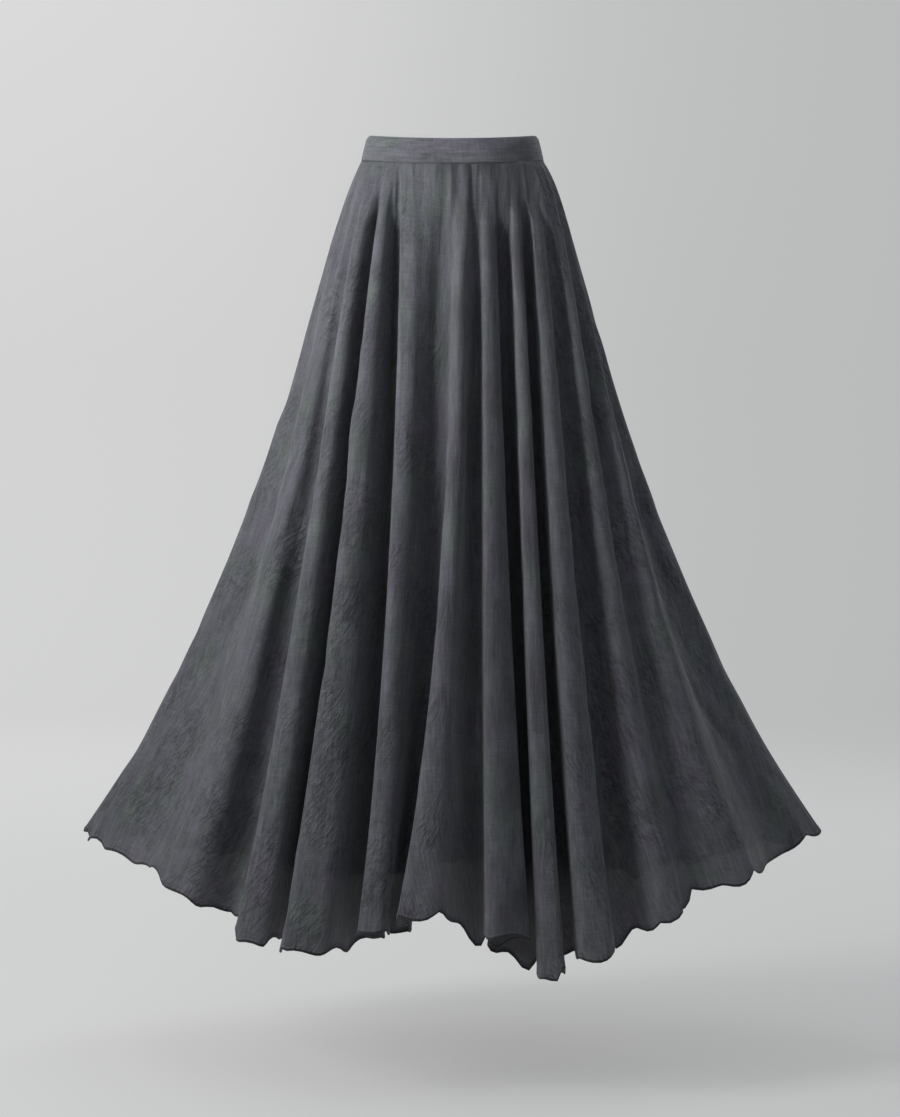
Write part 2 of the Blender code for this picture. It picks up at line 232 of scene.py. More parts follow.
CREASES = (
    Crease("side_dish_right", 2, 0.56, -92, 0.95, -5.5, 20, -9),
    Crease("side_right", 62, 0.82, 44, 0.98, 3.2, 15, 0),
    Crease("side_ridge_right", -16, 0.86, -80, 0.97, -2.0, 8, 4),
    Crease("side_ridge_right", 0, 0.52, 2, 0.98, 3.0, 24, 5),
    Crease("side_ridge_right", 38, 0.48, 48, 0.97, -3.0, 18, -4),
    Crease("side_dish_right", -60, 0.26, -96, 0.60, -2.4, 14, 5),
    Crease("side_dish_right", 46, 0.34, 18, 0.60, 2.0, 14, 4),
    Crease("flute_a", 6, 0.34, -8, 0.66, 1.6, 9, 3),
    Crease("flute_b", -14, 0.28, 10, 0.60, 1.8, 10, -3),
    Crease("flute_b", 22, 0.55, 4, 0.92, -2.0, 11, 4),
    Crease("flute_c", 18, 0.18, 6, 0.52, -1.8, 9, 3),
    Crease("flute_d", 8, 0.10, 30, 0.46, 2.2, 9, -3),
    Crease("flute_d", 60, 0.30, 34, 0.88, -2.4, 13, 4),
    Crease("valley_m", 10, 0.16, -4, 0.62, -1.8, 10, -3),
    Crease("flute_g", -12, 0.30, -24, 0.70, 1.8, 9, 3),
    Crease("flute_g", 30, 0.52, 12, 0.94, -2.2, 12, -4),
    Crease("flute_h", -3, 0.18, -3, 0.93, 2.4, 13, 0),
    Crease("side_ridge_left", -2, 0.28, -6, 0.84, 2.4, 15, 0),
    Crease("side_ridge_left", -32, 0.58, -46, 0.97, -3.4, 20, 0),
    Crease("side_ridge_left", 24, 0.62, 151, 0.88, -2.8, 8, 6),
    Crease("side_dish_left", -52, 0.64, -16, 0.98, 2.6, 17, -4),
    Crease("side_dish_left", 20, 0.46, 74, 0.86, -3.0, 17, 6),
    Crease("valley_d", -21, 0.06, -28, 0.48, -5.5, 11, 2),
    Crease("flute_c", 27, 0.06, 24, 0.50, 4.0, 10, 0),
    Crease("flute_d", 0, 0.08, 3, 0.46, 2.4, 8, 0),
    Crease("valley_b", -2, 0.05, -2, 0.40, -3.6, 6, 0),
    Crease("valley_c", -6, 0.03, -4, 0.36, -3.4, 6, 0),
    Crease("valley_e", 10, 0.05, 8, 0.36, -3.0, 6, 0),
    Crease("valley_f", 0, 0.05, 0, 0.40, -3.2, 6, 0),
    Crease("flute_b", 9, 0.03, 2, 0.26, 2.2, 6, 0),
    Crease("flute_a", 17, 0.01, 14, 0.08, -1.6, 4, 0),
    Crease("valley_c", 8, 0.01, 6, 0.10, -1.8, 3, 0),
    Crease("flute_c", 16, 0.00, 12, 0.07, -1.4, 3, 1),
    Crease("flute_c", 42, 0.00, 47, 0.11, -2.0, 4, -1),
    Crease("valley_d", -38, 0.01, -36, 0.08, -1.5, 3, 0),
    Crease("valley_d", -4, 0.00, -10, 0.10, -2.6, 4, 0),
    Crease("flute_d", 39, 0.00, 26, 0.13, 2.4, 5, 1),
    Crease("flute_d", 60, 0.01, 52, 0.09, -1.5, 4, 0),
    Crease("valley_m", 14, 0.01, 12, 0.07, -1.2, 3, 0),
    Crease("flute_a", 2, 0.36, -22, 0.43, -2.2, 4.6, 3),
    Crease("flute_a", -16, 0.44, -44, 0.53, -2.5, 4.8, -3),
    Crease("side_ridge_right", 30, 0.47, 4, 0.55, -2.2, 4.6, 2),
    Crease("side_ridge_right", 6, 0.40, -18, 0.47, -2.1, 4.6, -2),
    Crease("side_ridge_right", -6, 0.57, -34, 0.65, -2.4, 4.8, 3),
    Crease("flute_a", 10, 0.56, -14, 0.64, -2.2, 4.6, -2),
    Crease("flute_a", 4, 0.70, -18, 0.77, -2.0, 4.6, 2),
    Crease("side_dish_right", 30, 0.60, -6, 0.68, -2.1, 4.8, 3),
    Crease("side_dish_right", -10, 0.50, -40, 0.58, -2.2, 4.6, -3),
    Crease("flute_b", 12, 0.40, -8, 0.47, -2.0, 4.4, 2),
    Crease("flute_b", -4, 0.52, -22, 0.60, -2.1, 4.4, -2),
    Crease("flute_d", 46, 0.30, 32, 0.38, -1.8, 4.4, 2),
    Crease("flute_g", -14, 0.36, 4, 0.44, -2.0, 4.4, -2),
    Crease("flute_g", 2, 0.56, 22, 0.63, -2.0, 4.6, 2),
    Crease("side_ridge_left", -30, 0.48, -6, 0.56, -2.0, 4.6, -2),
    Crease("side_dish_left", -44, 0.54, -14, 0.62, -2.1, 4.8, 3),
    Crease("side_dish_left", 26, 0.68, 52, 0.75, -2.0, 4.6, -2),
    Crease("back_ridge_left", -36, 0.42, -8, 0.50, -2.1, 4.6, 3),
    Crease("back_flute_a", -6, 0.54, 18, 0.62, -2.1, 4.6, -2),
    Crease("back_flute_c", 10, 0.38, -10, 0.46, -2.0, 4.4, 2),
    Crease("back_flute_d", -8, 0.56, 10, 0.64, -2.0, 4.4, -2),
    Crease("back_flute_e", 6, 0.34, -12, 0.42, -2.0, 4.4, 2),
    Crease("back_flute_f", 14, 0.52, -8, 0.60, -2.1, 4.6, -2),
    Crease("back_flute_g", 10, 0.40, -12, 0.48, -2.1, 4.6, 3),
    Crease("back_ridge_right", 24, 0.46, -6, 0.54, -2.2, 4.6, -3),
    Crease("back_ridge_right", -8, 0.60, -36, 0.68, -2.1, 4.8, 3),
    Crease("back_dish_left", 20, 0.50, 50, 0.88, -3.2, 18, 5),
    Crease("back_ridge_left", -40, 0.44, -14, 0.86, 2.6, 16, -5),
    Crease("back_ridge_left", 34, 0.58, 10, 0.96, -2.6, 14, 5),
    Crease("back_flute_b", 10, 0.30, -12, 0.70, 1.8, 10, 3),
    Crease("back_flute_c", -16, 0.24, 8, 0.60, -1.8, 10, -3),
    Crease("back_flute_d", 24, 0.36, -4, 0.80, 2.2, 12, 4),
    Crease("back_flute_e", -14, 0.50, 8, 0.94, -2.2, 12, -4),
    Crease("back_flute_f", 16, 0.26, -10, 0.64, 2.0, 10, 3),
    Crease("back_flute_g", -8, 0.44, 12, 0.88, -2.0, 11, -4),
    Crease("back_hollow_right", 20, 0.48, -24, 0.90, 2.6, 16, 5),
    Crease("back_ridge_right", -30, 0.55, 22, 0.96, -3.0, 16, -5),
    Crease("back_dish_right", -30, 0.42, -70, 0.82, 2.4, 15, 5),
)


class Field(NamedTuple):
    """A stretch of cloth between two folds that carries many short creases.

    slant is how far a crease leans from the fall of the cloth, in degrees, right at its top
    where positive. Lengths, heights and widths are millimetres, each the middle of its range.
    """

    first: str
    last: str
    top: float
    foot: float
    count: int
    slant: float
    length: float
    height: float
    width: float


FIELDS = (
    Field("side_right", "valley_a", 0.30, 0.95, 46, 30, 95, 1.25, 11),
    Field("flute_a", "flute_b", 0.22, 0.94, 34, 24, 75, 0.95, 9),
    Field("flute_c", "flute_d", 0.14, 0.92, 30, 12, 85, 0.80, 8),
    Field("flute_e", "flute_g", 0.20, 0.92, 30, 16, 75, 0.80, 8),
    Field("flute_g", "side_left", 0.26, 0.94, 44, -26, 90, 1.10, 11),
    Field("side_left", "back_flute_a", 0.28, 0.95, 46, -26, 90, 1.20, 11),
    Field("back_flute_a", "back_flute_e", 0.18, 0.94, 54, -20, 80, 0.95, 9),
    Field("back_flute_e", "back_flute_h", 0.18, 0.94, 54, 20, 80, 0.95, 9),
    Field("back_flute_h", "back_dish_right", 0.28, 0.95, 44, 26, 90, 1.20, 11),
)


def smooth_step(x: np.ndarray) -> np.ndarray:
    """A soft rise from 0 to 1 over the same range of x."""
    x = np.clip(x, 0.0, 1.0)
    return x * x * (3.0 - 2.0 * x)


def unit(vectors: np.ndarray) -> np.ndarray:
    """Vectors on the last axis, each at length 1."""
    return vectors / np.maximum(np.linalg.norm(vectors, axis=-1, keepdims=True), 1e-12)


def cubic(at: np.ndarray, places: np.ndarray, values: np.ndarray, tangents: np.ndarray) -> np.ndarray:
    """A curve given by its points and its slopes there.

    Args:
        at: Where to read the curve.
        places: Rising places of the points.
        values: Heights of the points.
        tangents: Slopes at the points.

    Returns:
        The curve's heights at `at`.
    """
    i = np.clip(np.searchsorted(places, at, side="right") - 1, 0, len(places) - 2)
    step = places[i + 1] - places[i]
    x = (at - places[i]) / step
    return (
        values[i] * (1 + 2 * x) * (1 - x) ** 2
        + values[i + 1] * x * x * (3 - 2 * x)
        + tangents[i] * step * x * (1 - x) ** 2
        + tangents[i + 1] * step * x * x * (x - 1)
    )


def oval(deg: np.ndarray, half_width: float, half_depth: float) -> tuple[np.ndarray, np.ndarray]:
    """Places on an oval, by angle from centre front."""
    angle = np.radians(deg)
    return half_width * np.sin(angle), -half_depth * np.cos(angle)


def oval_normal(deg: np.ndarray, half_width: float, half_depth: float) -> tuple[np.ndarray, np.ndarray]:
    """The outward direction of an oval.

    Args:
        deg: Angles from centre front, towards the wearer's left.
        half_width: Half the oval's width.
        half_depth: Half the oval's depth.

    Returns:
        The direction's x and y at each angle, at length 1.
    """
    angle = np.radians(deg)
    across = np.sin(angle) / half_width
    along = -np.cos(angle) / half_depth
    size = np.hypot(across, along)
    return across / size, along / size


class RoundSpline:
    """A smooth closed curve through values at given places, the last joining the first."""

    def __init__(self, places: np.ndarray, values: np.ndarray, turn: float) -> None:
        """Works out the slopes that make the curve smooth at every place.

        Args:
            places: Rising places of the points, from 0.
            values: The curve's values there.
            turn: The length of one turn, where the first point comes again.
        """
        self.turn = turn
        self.places = np.append(places, turn)
        self.values = np.append(values, values[0])
        count = len(values)
        step = np.diff(self.places)
        slope = np.diff(self.values) / step
        matrix = np.zeros((count, count))
        right = np.zeros(count)
        for i in range(count):
            before = (i - 1) % count
            after = (i + 1) % count
            matrix[i, before] += step[i]
            matrix[i, i] += 2.0 * (step[before] + step[i])
            matrix[i, after] += step[before]
            right[i] = 3.0 * (step[i] * slope[before] + step[before] * slope[i])
        tangents = np.linalg.solve(matrix, right)
        self.tangents = np.append(tangents, tangents[0])

    def __call__(self, at: np.ndarray) -> np.ndarray:
        """The curve's values at places that may lie past one turn."""
        return cubic(np.mod(at, self.turn), self.places, self.values, self.tangents)


class Wobble(NamedTuple):
    """A slow change round the hem: its size, its waves in one turn and where it starts."""

    size: float
    turns: float
    shift: float


RIPPLE_WANDER = (Wobble(1.6, 9.0, 0.6), Wobble(0.8, 23.0, 0.0))
RIPPLE_SWELL = (Wobble(0.45, 14.0, 1.0), Wobble(0.3, 31.0, 0.0))


def wobbled(rows: tuple[Wobble, ...], turn: np.ndarray) -> np.ndarray:
    """The sum of slow changes at angles round the hem."""
    return sum(row.size * np.sin(row.turns * turn + row.shift) for row in rows)


@dataclass
class WaistForm:
    """Sizes of the waistband and of the seam below it."""

    height: float = 0.0330
    wall: float = 0.0030
    top_half_width: float = 0.1107
    edge_half_width: float = 0.1142
    edge_drop: float = 0.0045
    seam_half_width: float = 0.1213
    depth_ratio: float = 0.757
    front_dip: float = 0.012
    front_dip_power: float = 1.3
    seam_gap: float = 0.0003
    gather_count: int = 26
    gather_height: float = 0.0013
    gather_plain_deg: float = 4.0
    gather_ease_deg: float = 12.0

    def half_width(self, depth: np.ndarray) -> np.ndarray:
        """Half the band's width at a depth below its top."""
        depths = (0.0, self.edge_drop, self.height)
        return np.interp(depth, depths, (self.top_half_width, self.edge_half_width, self.seam_half_width))

    def dip(self, waist_deg: np.ndarray) -> np.ndarray:
        """How far the worn waistline sinks towards centre front."""
        facing = np.maximum(np.cos(np.radians(waist_deg)), 0.0)
        return self.front_dip * facing ** self.front_dip_power

    def gathers(self, waist_deg: np.ndarray) -> np.ndarray:
        """Waves of the elastic back, from -1 to 1, fading out before the side seams."""
        from_side = 90.0 - np.abs(np.mod(waist_deg, FULL_TURN) - 180.0) - self.gather_plain_deg
        inside = smooth_step(from_side / self.gather_ease_deg)
        turns = (waist_deg - 90.0) / 180.0 * self.gather_count
        return inside * np.sin(math.tau * turns)


@dataclass
class SkirtForm:
    """The cloth below the seam, as a surface over cloth width and share of the drop."""

    waist: WaistForm = field(default_factory=WaistForm)
    hem_half_width: float = 0.4907
    hem_half_depth: float = 0.335
    waist_deg_per_face: float = 0.055
    fold_growth: float = 0.60
    fold_soft_start: float = 0.06
    least_bend: float = 0.5
    gather_fade: float = 0.045
    tuck_count: int = 3
    tuck_first_deg: float = -13.0
    tuck_last_deg: float = 15.0
    tuck_height: float = 0.0018
    tuck_fade: float = 0.055
    ripple_length: float = 0.046
    ripple_drop: float = 0.0026
    ripple_out: float = 0.0022
    ripple_fade: float = 0.045
    dip_fade: float = 0.110
    hem_low: float = 0.0032
    waist_radius: float = 0.170
    cloth_length: float = 0.965

    def __post_init__(self) -> None:
        """Lays the folds out across the cloth and fits the curves between them."""
        knots = [knot for fold in FRONT_FOLDS + BACK_FOLDS for knot in self.fold_knots(fold)]
        self.waist_deg = np.array([knot.waist for knot in knots])
        hem_deg = np.array([knot.hem for knot in knots])
        out = np.array([knot.out for knot in knots]) * MM
        base_x, base_y = oval(hem_deg, self.hem_half_width, self.hem_half_depth)
        side, ahead = oval_normal(hem_deg, self.hem_half_width, self.hem_half_depth)
        hem = np.stack((base_x + out * side, base_y + out * ahead), axis=1)
        chords = np.linalg.norm(np.roll(hem, -1, axis=0) - hem, axis=1)
        self.places = np.concatenate(((0.0,), np.cumsum(chords)[:-1]))
        self.width = float(chords.sum())
        self.names = [knot.name for knot in knots]
        self.base_x = self.spline(base_x)
        self.base_y = self.spline(base_y)
        self.out_x = self.spline(out * side)
        self.out_y = self.spline(out * ahead)
        self.drop = self.spline(np.array([knot.drop * MM for knot in knots]))
        self.bend = self.spline(np.array([knot.bend for knot in knots]))
        self.start = self.spline(np.array([knot.start for knot in knots]))

    def fold_knots(self, fold: Fold) -> list[Fold]:
        """Gives a fold its places on the cloth.

        Args:
            fold: A ridge or valley.

        Returns:
            The fold itself, or the two edges of its rounded top.
        """
        if not fold.face:
            return [fold]
        angle = math.radians(fold.hem)
        across = self.hem_half_width * math.cos(angle)
        along = self.hem_half_depth * math.sin(angle)
        half = math.degrees(fold.face * MM / 2 / math.hypot(across, along))
        half_waist = fold.face * self.waist_deg_per_face
        return [
            fold._replace(waist=fold.waist - half_waist, hem=fold.hem - half),
            fold._replace(waist=fold.waist + half_waist, hem=fold.hem + half),
        ]

    def spline(self, values: np.ndarray) -> RoundSpline:
        """A closed curve through one value for each place across the cloth."""
        return RoundSpline(self.places, values, self.width)

    def place(self, name: str) -> float:
        """The middle of a named fold across the cloth, in metres of hem width."""
        found = [place for place, knot in zip(self.places, self.names) if knot == name]
        return float(sum(found) / len(found))

    def waist_at(self, across: np.ndarray) -> np.ndarray:
        """The angle at the seam of a place across the cloth."""
        places = np.append(self.places, self.width)
        angles = np.append(self.waist_deg, self.waist_deg[0] + FULL_TURN)
        return np.interp(np.mod(across, self.width), places, angles)

    def spread(self, down: np.ndarray) -> np.ndarray:
        """How much of its spread the bell has reached at a share of the drop."""
        drops = np.array([row.drop for row in SPREADS])
        shares = np.array([row.share for row in SPREADS])
        return np.clip(cubic(down, drops, shares, np.gradient(shares, drops)), 0.0, 1.0)

    def dips(self, across: np.ndarray) -> np.ndarray:
        """How far the hem hangs below its plain curve.

        Args:
            across: Places across the cloth, in metres of hem width.

        Returns:
            Metres at each place, less than nothing where the hem is higher.
        """
        total = np.full_like(across, self.hem_low)
        for dip in HEM_DIPS:
            away = across - self.place(dip.fold) - dip.across * MM
            away = np.mod(away + self.width / 2, self.width) - self.width / 2
            total += dip.drop * MM * np.exp(-(away / (dip.width * MM)) ** 2)
        return total

    def cut(self) -> tuple[float, float, float]:
        """Measures one panel as it is cut: half of a flat ring sector.

        Returns:
            Its width, length and flat area.
        """
        outside = self.waist_radius + self.cloth_length
        half_angle = self.width / outside / 4.0
        width = 2.0 * outside * math.sin(half_angle)
        length = outside - self.waist_radius * math.cos(half_angle)
        return width, length, (outside ** 2 - self.waist_radius ** 2) * half_angle

    def tucks(self, waist_deg: np.ndarray) -> np.ndarray:
        """Small gathers at centre front, from -1 to 1."""
        share = (waist_deg - self.tuck_first_deg) / (self.tuck_last_deg - self.tuck_first_deg)
        return np.sin(np.clip(share, 0.0, 1.0) * math.tau * self.tuck_count)

    def point(self, across: np.ndarray, down: np.ndarray) -> np.ndarray:
        """Places on the outer face.

        Args:
            across: Metres of hem width from the wearer's right side seam.
            down: Share of the drop from the seam to the hem.

        Returns:
            One point for each pair, with x, y and z on the last axis.
        """
        form = self.waist
        waist = self.waist_at(across)
        half_depth = form.seam_half_width * form.depth_ratio
        seam_x, seam_y = oval(waist, form.seam_half_width, half_depth)
        side, ahead = oval_normal(waist, form.seam_half_width, half_depth)
        drop = self.drop(across)
        share = self.spread(down)
        swing = share ** np.maximum(self.bend(across), self.least_bend)
        start = np.maximum(self.start(across), 0.0)
        below = np.clip((down - start) / (1.0 - start), 0.0, 1.0)
        depth = below ** self.fold_growth * smooth_step(below / self.fold_soft_start)
        x = seam_x + (self.base_x(across) - seam_x) * swing + self.out_x(across) * depth
        y = seam_y + (self.base_y(across) - seam_y) * share + self.out_y(across) * depth
        z = -form.height - form.seam_gap - form.dip(waist) - drop * down
        fine = form.gather_height * form.gathers(waist) * np.exp(-drop * down / self.gather_fade)
        fine += self.tuck_height * self.tucks(waist) * np.exp(-drop * down / self.tuck_fade)
        near_edge = np.exp(-drop * (1.0 - down) / self.ripple_fade)
        turn = math.tau * across / self.width
        wave = turn * round(self.width / self.ripple_length) + wobbled(RIPPLE_WANDER, turn)
        swell = 1.0 + wobbled(RIPPLE_SWELL, turn)
        fine += self.ripple_out * swell * near_edge * np.cos(wave)
        z += self.ripple_drop * swell * near_edge * np.sin(wave)
        z -= self.dips(across) * np.exp(-drop * (1.0 - down) / self.dip_fade)
        return np.stack((x + fine * side, y + fine * ahead, z), axis=-1)


@dataclass
class CreaseWork:
    """Lays the listed creases and the fields of short ones on the cloth."""

    form: SkirtForm
    seed: int = 7
    probe: float = 0.004
    length_range: tuple[float, float] = (0.6, 1.5)
    height_range: tuple[float, float] = (0.4, 1.5)
    width_range: tuple[float, float] = (0.7, 1.5)
    slant_spread: float = 9.0
    bow_spread: float = 2.0
    least_scale: float = 0.05
    end_past: float = 0.15
    end_run: float = 0.4

    def all_creases(self) -> list[Crease]:
        """Gathers every crease of the skirt.

        Returns:
            The listed creases, and then the short ones of every field.
        """
        rng = np.random.default_rng(self.seed)
        found = list(CREASES)
        for zone in FIELDS:
            first = self.form.place(zone.first)
            last = self.form.place(zone.last)
            for _ in range(zone.count):
                across = rng.uniform(first, last)
                down = rng.uniform(zone.top, zone.foot)
                length = zone.length * rng.uniform(*self.length_range) * MM
                lean = math.radians(zone.slant + rng.normal(0.0, self.slant_spread))
                height = zone.height * rng.uniform(*self.height_range) * rng.choice((-1.0, 1.0))
                width = zone.width * rng.uniform(*self.width_range)
                bow = rng.normal(0.0, self.bow_spread)
                scale = self.across_scale(across, down)
                aside = length / 2 * math.sin(lean) / scale
                fall = length / 2 * math.cos(lean) / float(self.form.drop(np.array(across)))
                offset = (across - first) / MM
                found.append(Crease(
                    zone.first, offset + aside / MM, down - fall, offset - aside / MM, down + fall,
                    height, width, bow,
                ))
        return found

    def across_scale(self, across: float, down: float) -> float:
        """How wide the cloth is at one place.

        Args:
            across: The place across the cloth, in metres of hem width.
            down: Its share of the drop.

        Returns:
            Real metres of cloth for each metre of hem width.
        """
        ends = self.form.point(np.array([across - self.probe, across + self.probe]), np.array([down, down]))
        return max(float(np.linalg.norm(ends[1] - ends[0])) / (2 * self.probe), self.least_scale)

    def height(self, across: np.ndarray, down: np.ndarray) -> np.ndarray:
        """How far all the creases lift the cloth.

        Args:
            across: Places across the cloth, a grid.
            down: Shares of the drop, a grid.

        Returns:
            Metres of lift over the same grid.
        """
        total = np.zeros_like(across)
        for crease in self.all_creases():
            total += self.lift(crease, across, down)
        return total

    def lift(self, crease: Crease, across: np.ndarray, down: np.ndarray) -> np.ndarray:
        """How far one crease lifts the cloth.

        Args:
            crease: The crease.
            across: Places across the cloth, a grid.
            down: Shares of the drop, a grid.

        Returns:
            Metres of lift over the same grid.
        """
        start = self.form.place(crease.fold)
        top = start + crease.top_across * MM
        foot = start + crease.foot_across * MM
        middle = (top + foot) / 2
        middle_down = (crease.top_down + crease.foot_down) / 2
        scale = self.across_scale(middle, middle_down)
        drop = float(self.form.drop(np.array(middle)))
        away = np.mod(across - middle + self.form.width / 2, self.form.width) - self.form.width / 2
        x = away * scale
        y = (down - middle_down) * drop
        run_x = (foot - top) * scale
        run_y = (crease.foot_down - crease.top_down) * drop
        length = math.hypot(run_x, run_y)
        along = (x * run_x + y * run_y) / length ** 2 + 0.5
        aside = (x * run_y - y * run_x) / length
        aside = aside - crease.bow * MM * 4.0 * along * (1.0 - along)
        top_end = smooth_step((along + self.end_past) / self.end_run)
        ends = top_end * smooth_step((1.0 + self.end_past - along) / self.end_run)
        return crease.height * MM * np.exp(-(aside / (crease.width * MM)) ** 2) * ends


class HemRow(NamedTuple):
    """A row of the rolled hem: millimetres above the edge, and half its thickness there."""

    above: float
    half: float


@dataclass
class Panel:
    """One cut panel of the skirt, as a thin shell with a rolled hem."""

    form: SkirtForm
    creases: CreaseWork
    side: Side
    columns: int = 306
    wall: float = 0.0012
    seam_gap: float = 0.0003
    ditch_depth: float = 0.0005
    ditch_fade: float = 0.0025
    stitch_height: float = 0.0058
    stitch_margin: float = 0.002
    stitch_probe: float = 0.004
    stitch_density: int = 3
    stitch_off: float = 0.00016
    crease_start: float = 0.03
    grain_shift: float = 0.613
    row_stops: tuple[float, ...] = (0.0, 0.06, 0.90, 0.9865)
    row_counts: tuple[int, ...] = (20, 104, 14)
    hem_rows: tuple[HemRow, ...] = (
        HemRow(8.0, 0.60), HemRow(6.4, 0.62), HemRow(5.4, 0.72), HemRow(4.6, 0.90),
        HemRow(3.6, 1.05), HemRow(2.6, 1.10), HemRow(1.6, 1.02), HemRow(0.8, 0.80),
        HemRow(0.25, 0.45), HemRow(0.0, 0.0),
    )

    def name(self) -> str:
        """The panel's name, which is not its node's."""
        return f"linen_panel_{self.side.value}"

    def span(self) -> tuple[float, float]:
        """Where its side seams lie across the cloth."""
        left_seam = self.form.place("side_left")
        return (0.0, left_seam) if self.side is Side.FRONT else (left_seam, self.form.width)

    def downs(self) -> np.ndarray:
        """Shares of the drop for the rows above the hem, closer near the waist and the hem."""
        runs = zip(self.row_stops, self.row_stops[1:], self.row_counts)
        return np.concatenate([np.linspace(top, foot, count, endpoint=False) for top, foot, count in runs])

    def grids(self) -> tuple[np.ndarray, np.ndarray, np.ndarray]:
        """Lays out every point of the panel, and one more column past each side.

        Returns:
            Places across the cloth, shares of the drop, and half the thickness of each row.
        """
        first, last = self.span()
        step = (last - first) / self.columns
        across = first + step * np.arange(-1, self.columns + 2)
        drop = self.form.drop(across)
        rows = self.downs()
        plain = np.repeat(rows[:, None], len(across), axis=1)
        above = np.array([row.above for row in self.hem_rows])[:, None] * MM
        rolled = 1.0 - above / drop[None, :]
        down = np.concatenate((plain, rolled))
        half = np.concatenate((
            np.full(len(rows), self.wall / 2),
            np.array([row.half for row in self.hem_rows]) * MM,
        ))
        return np.repeat(across[None, :], len(down), axis=0), down, half

    def build(self) -> bpy.types.Object:
        """Makes the panel's shell.

        Returns:
            The panel, with its grain map and its distance from the hem.
        """
        across, down, half = self.grids()
        middle = self.form.point(across, down)
        normal = grid_normals(middle)
        lift = self.creases.height(across, down)
        drop = self.form.drop(across)
        lift = lift * smooth_step(down / self.crease_start)
        lift = lift - self.ditch_depth * np.exp(-drop * down / self.ditch_fade)
        middle = middle + normal * (lift - self.wall / 2)[..., None]
        normal = grid_normals(middle)
        outer = middle + normal * half[:, None, None]
        inner = middle - normal * half[:, None, None]
        grain = self.grain(across[:, 1:-1], outer[:, 1:-1])
        outer, inner = outer[:, 1:-1], inner[:, 1:-1]
        for grid in (outer, inner):
            grid[:, 0] += unit(grid[:, 1] - grid[:, 0]) * self.seam_gap / 2
            grid[:, -1] += unit(grid[:, -2] - grid[:, -1]) * self.seam_gap / 2
        to_hem = (drop * (1.0 - down))[:, 1:-1]
        return shell_object(self.name(), outer, inner, grain, to_hem)

    def hem_line(self) -> np.ndarray:
        """Finds where the narrow hem is sewn down.

        Returns:
            A row of points just off the cloth.
        """
        first, last = self.span()
        margin = (last - first) * self.stitch_margin
        across = np.linspace(first + margin, last - margin, self.columns * self.stitch_density)
        down = 1.0 - self.stitch_height / self.form.drop(across)
        rows = np.stack((down - self.stitch_probe, down, down + self.stitch_probe))
        grid = self.form.point(np.repeat(across[None, :], 3, axis=0), rows)
        lift = self.creases.height(across[None, :], down[None, :])[0]
        return grid[1] + grid_normals(grid)[1] * (lift + self.stitch_off)[:, None]

    def grain(self, across: np.ndarray, points: np.ndarray) -> np.ndarray:
        """Flat places on the cut cloth, for both edges of every column of faces.

        The thread runs down the middle of each stretch between two grain breaks.

        Args:
            across: Places across the cloth, a grid.
            points: The outer points of the same grid.

        Returns:
            A grid of (left u, v, right u, v) for each row of points and column of faces.
        """
        breaks = np.sort([self.form.place(name) for name in GRAIN_BREAKS])
        columns = across[0]
        middles = (columns[:-1] + columns[1:]) / 2
        stretch = np.searchsorted(breaks, middles)
        steps = np.linalg.norm(np.diff(points, axis=1), axis=-1)
        run = np.concatenate((np.zeros((len(points), 1)), np.cumsum(steps, axis=1)), axis=1)
        found = np.zeros((len(points), len(middles), 4))
        for index in np.unique(stretch):
            mine = np.nonzero(stretch == index)[0]
            centre = (mine[0] + mine[-1] + 1) // 2
            falls = np.linalg.norm(np.diff(points[:, centre], axis=0), axis=-1)
            radius = self.form.waist_radius + np.concatenate(((0.0,), np.cumsum(falls)))
            for edge, columns_of in ((0, mine), (1, mine + 1)):
                aside = run[:, columns_of] - run[:, centre][:, None]
                turn = aside / radius[:, None]
                found[:, mine, 2 * edge] = radius[:, None] * np.sin(turn) + self.grain_shift * index
                found[:, mine, 2 * edge + 1] = -radius[:, None] * np.cos(turn)
        return found


def grid_normals(points: np.ndarray) -> np.ndarray:
    """Outward directions of a grid whose rows run down and columns run to the left hand."""
    fall = np.gradient(points, axis=0)
    along = np.gradient(points, axis=1)
    return unit(np.cross(fall, along))


def quad_corners(grid: np.ndarray) -> tuple[np.ndarray, ...]:
    """The four corners of every face of a grid: top, foot, next foot and next top."""
    return grid[:-1, :-1], grid[1:, :-1], grid[1:, 1:], grid[:-1, 1:]


